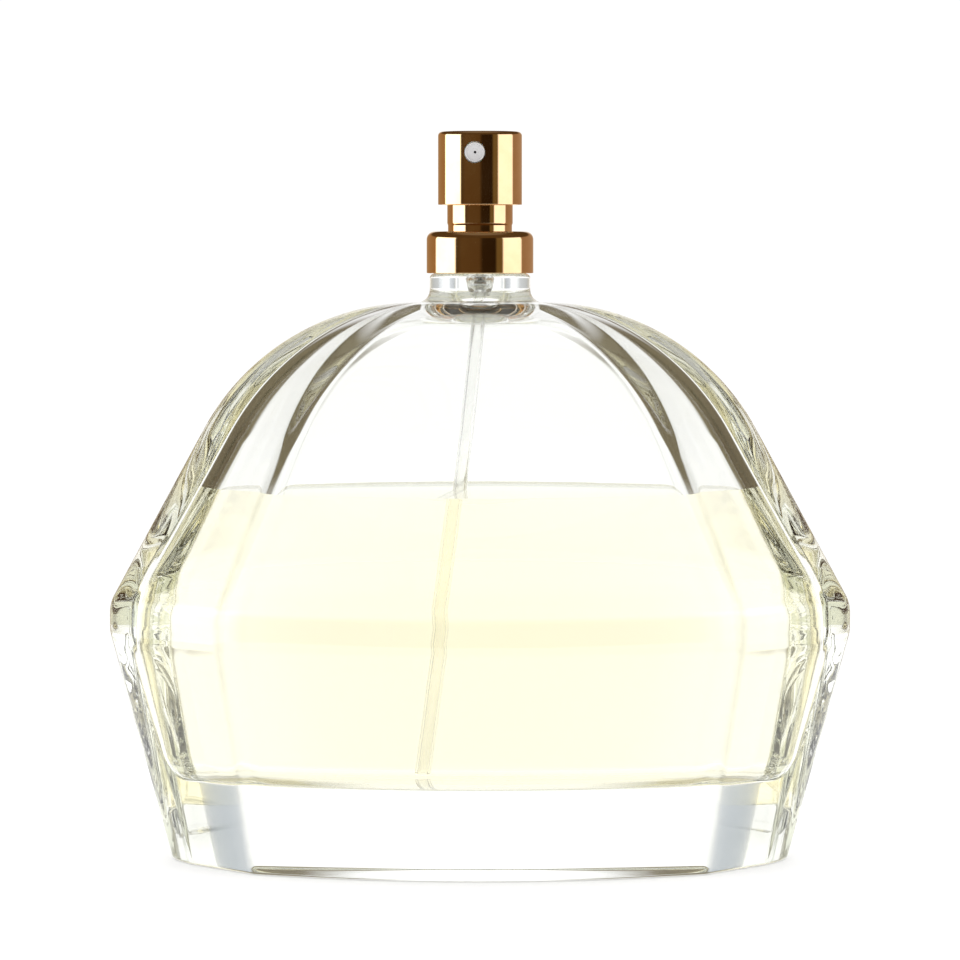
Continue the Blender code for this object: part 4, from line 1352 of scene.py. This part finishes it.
@dataclass
class Studio:
    """A white table in a white room, with a softbox at each side and dark walls between."""

    distance: float = 0.78
    eye_height: float = 99.0 * MM
    aim_height: float = 60.8 * MM
    focal: float = 182.8
    sensor: float = 36.0
    floor_half: float = 0.20
    floor_gap: float = 0.2 * MM
    strength: float = 2.1
    bounces: int = 24

    def camera(self) -> None:
        """A long lens in front of the wide face, a little above the shoulder, looking down."""
        lens = bpy.data.cameras.new("camera")
        lens.lens = self.focal
        lens.sensor_width = self.sensor
        lens.clip_start = 0.05
        lens.clip_end = 50.0
        view = bpy.data.objects.new("camera", lens)
        pitch = math.atan2(self.eye_height - self.aim_height, self.distance)
        view.location = (0.0, -self.distance, self.eye_height)
        view.rotation_euler = (0.5 * math.pi - pitch, 0.0, 0.0)
        bpy.context.scene.collection.objects.link(view)
        bpy.context.scene.camera = view

    def floor(self) -> None:
        """A flat grid just under the base."""
        side = np.linspace(-self.floor_half, self.floor_half, 5)
        x, y = np.meshgrid(side, side)
        points = np.stack([x, y, np.full_like(x, -self.floor_gap)], axis=-1).reshape(-1, 3)
        index = np.arange(25).reshape(5, 5)
        quads = np.stack([index[:-1, :-1], index[:-1, 1:], index[1:, 1:], index[1:, :-1]], axis=-1)
        mesh = bpy.data.meshes.new("table")
        mesh.from_pydata(points, [], quads.reshape(-1, 4).tolist())
        table = bpy.data.objects.new("table", mesh)
        mesh.materials.append(Finishes.FLOOR.value.material())
        bpy.context.scene.collection.objects.link(table)

    def room(self) -> None:
        """The light from all round, by its direction about the vertical.

        What shines on the floor is even white. What shows in the metal has a white softbox to
        the left, a duller one to the right and darkness between and beyond them. What shows
        through the glass changes with height: each height is a ring of colours, and z, the sine
        of the elevation, leads from one ring to the next.
        """
        world = bpy.data.worlds.new("room")
        world.use_nodes = True
        bpy.context.scene.world = world
        tree = Tree(world.node_tree)
        direction = tree.node("ShaderNodeTexCoord", out="Generated")
        parts = tree.node("ShaderNodeSeparateXYZ", {"Vector": direction}).socket.node
        x, y, z = (Val(tree, parts.outputs[i]) for i in range(3))
        around = tree.math("ARCTAN2", x, y * -1.0) / TAU + 0.5
        metal, level, middle, walls, high = (
            tree.node("ShaderNodeValToRGB", {"Fac": around}, stops=stops)
            for stops in (METAL_ROOM, BACKDROP, MIDDLE, WALLS, HIGH)
        )
        metal = tree.mix(z.smooth(0.25, 0.40), metal, (0.045, 0.026, 0.010))
        metal = tree.mix(z.smooth(0.80, 0.95), metal, (0.10, 0.08, 0.06))
        glass = tree.mix(z.smooth(-0.09, -0.02), grey(0.62), level)
        glass = tree.mix(z.smooth(0.10, 0.14), glass, middle)
        glass = tree.mix(z.smooth(0.17, 0.24), glass, walls)
        glass = tree.mix(z.smooth(0.42, 0.50), glass, high)
        glass = tree.mix(z.smooth(0.66, 0.78), glass, grey(0.50))
        path = tree.node("ShaderNodeLightPath").socket.node
        glossy = Val(tree, path.outputs["Is Glossy Ray"])
        through = Val(tree, path.outputs["Is Transmission Ray"])
        color = tree.mix(through, tree.mix(glossy, grey(0.50), metal), glass)
        shader = tree.node("ShaderNodeBackground", {"Color": color, "Strength": self.strength})
        out = tree.nodes.nodes.new("ShaderNodeOutputWorld")
        tree.nodes.links.new(shader.socket, out.inputs["Surface"])

    def build(self) -> None:
        """Camera, table, light and how the picture is shown."""
        self.camera()
        self.floor()
        self.room()
        scene = bpy.context.scene
        scene.view_settings.view_transform = "Standard"
        scene.cycles.max_bounces = self.bounces
        scene.cycles.transmission_bounces = self.bounces
        scene.cycles.glossy_bounces = self.bounces // 2
        scene.cycles.transparent_max_bounces = self.bounces // 2
        scene.cycles.caustics_reflective = True
        scene.cycles.caustics_refractive = True


def grey(value: float) -> Color:
    """A colour with the same value in all three channels."""
    return value, value, value


def bearing(degrees: float) -> float:
    """The ramp's place for a bearing from the camera's side, which is 0, rightward positive."""
    return degrees / 360.0 + 0.5


def ring(both: Sequence[Stop], left: Sequence[Stop] = (), right: Sequence[Stop] = ()) -> tuple[Stop, ...]:
    """What stands round the bottle at one height.

    Args:
        both: bearings in degrees with their colours, the same to the left and to the right.
        left: more of them, to the left only.
        right: more of them, to the right only.

    Returns:
        The stops of a colour ramp, in their order.
    """
    leftward = [(bearing(-degrees), color) for degrees, color in (*both, *left)]
    rightward = [(bearing(degrees), color) for degrees, color in (*both, *right)]
    return tuple(sorted(leftward + rightward))


def softbox(start: float, color: Color) -> tuple[Stop, Stop]:
    """A softbox from 57 degrees round to its far edge."""
    return (57.0, color), (start, color)


OLIVE_DARK = (0.085, 0.070, 0.042)
ROOM_FRONT = (45.0, (0.42, 0.43, 0.36))
WARM_BOX = (0.60, 0.60, 0.58)

# What shows in the metal: dark brown to the front, a softbox at each side.
METAL_ROOM = ring(
    (),
    (
        (180.0, grey(0.50)),
        (160.0, (0.20, 0.13, 0.07)),
        (112.0, (0.17, 0.10, 0.045)),
        (108.0, (1.30, 1.35, 1.40)),
        (57.0, (1.30, 1.35, 1.40)),
        (53.0, (0.035, 0.022, 0.010)),
        (40.0, (0.055, 0.032, 0.012)),
        (2.0, (0.050, 0.028, 0.010)),
    ),
    (
        (6.0, (0.014, 0.007, 0.002)),
        (33.0, (0.012, 0.006, 0.002)),
        (38.0, (0.080, 0.055, 0.020)),
        (49.0, (0.080, 0.055, 0.020)),
        (53.0, (0.78, 0.80, 0.84)),
        (99.0, (0.78, 0.80, 0.84)),
        (103.0, (0.17, 0.11, 0.07)),
        (160.0, (0.22, 0.15, 0.10)),
        (180.0, grey(0.50)),
    ),
)

# What shows through the glass near the horizon: a wide white backdrop, greyer beside it.
BACKDROP = ring(
    (
        (180.0, grey(0.54)),
        (148.0, grey(0.53)),
        (138.0, (0.30, 0.31, 0.32)),
        (118.0, (0.22, 0.23, 0.24)),
        (110.0, (0.22, 0.22, 0.20)),
        ROOM_FRONT,
    ),
    softbox(105.0, grey(0.66)),
    softbox(105.0, WARM_BOX),
)

# A little higher: the backdrop's edges are dark, and grey screens stand further round.
MIDDLE = ring(
    (
        (180.0, grey(0.54)),
        (168.0, grey(0.53)),
        (160.0, OLIVE_DARK),
        (147.0, OLIVE_DARK),
        (141.0, (0.26, 0.28, 0.30)),
        (126.0, (0.17, 0.19, 0.21)),
        (108.0, (0.15, 0.15, 0.14)),
        ROOM_FRONT,
    ),
    softbox(100.0, grey(0.64)),
    softbox(100.0, WARM_BOX),
)

# Higher up: the backdrop's narrow top between dark walls.
WALLS = ring(
    (
        (180.0, grey(0.62)),
        (173.0, grey(0.60)),
        (167.0, OLIVE_DARK),
        (118.0, (0.070, 0.056, 0.034)),
        (108.0, (0.12, 0.11, 0.08)),
        ROOM_FRONT,
    ),
    softbox(104.0, grey(0.66)),
    softbox(104.0, (0.62, 0.62, 0.60)),
)

# Near the ceiling: light behind and in front, with the dark walls' tops at the sides.
HIGH = ring((
    (180.0, grey(0.54)),
    (160.0, grey(0.53)),
    (148.0, OLIVE_DARK),
    (112.0, OLIVE_DARK),
    (100.0, grey(0.50)),
))


def main() -> None:
    """Builds every piece."""
    logging.basicConfig(level=logging.INFO, format="%(name)s: %(message)s")
    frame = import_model()
    Studio().build()

    body = GlassBody()
    tube = DipTube()
    body.build()
    PerfumeFill(body).build(tube)
    tube.build()
    Housing().build()
    Ball().build()
    Ferrule().build()
    OuterCollar().build()
    Actuator().build()
    Spring(
        "return_spring", "return_coil", "bottle", "pump_press",
        turns=4.5, wire_radius=0.14 * MM, travel=3.9 * MM,
    ).build()
    Spring(
        "precompression_spring", "precompression_coil", "plunger", "piston_lift",
        turns=3.0, wire_radius=0.11 * MM, travel=0.4 * MM, anchored_at_top=True,
    ).build()
    dress_carried(frame["nodes"])


if __name__ == "__main__":
    main()
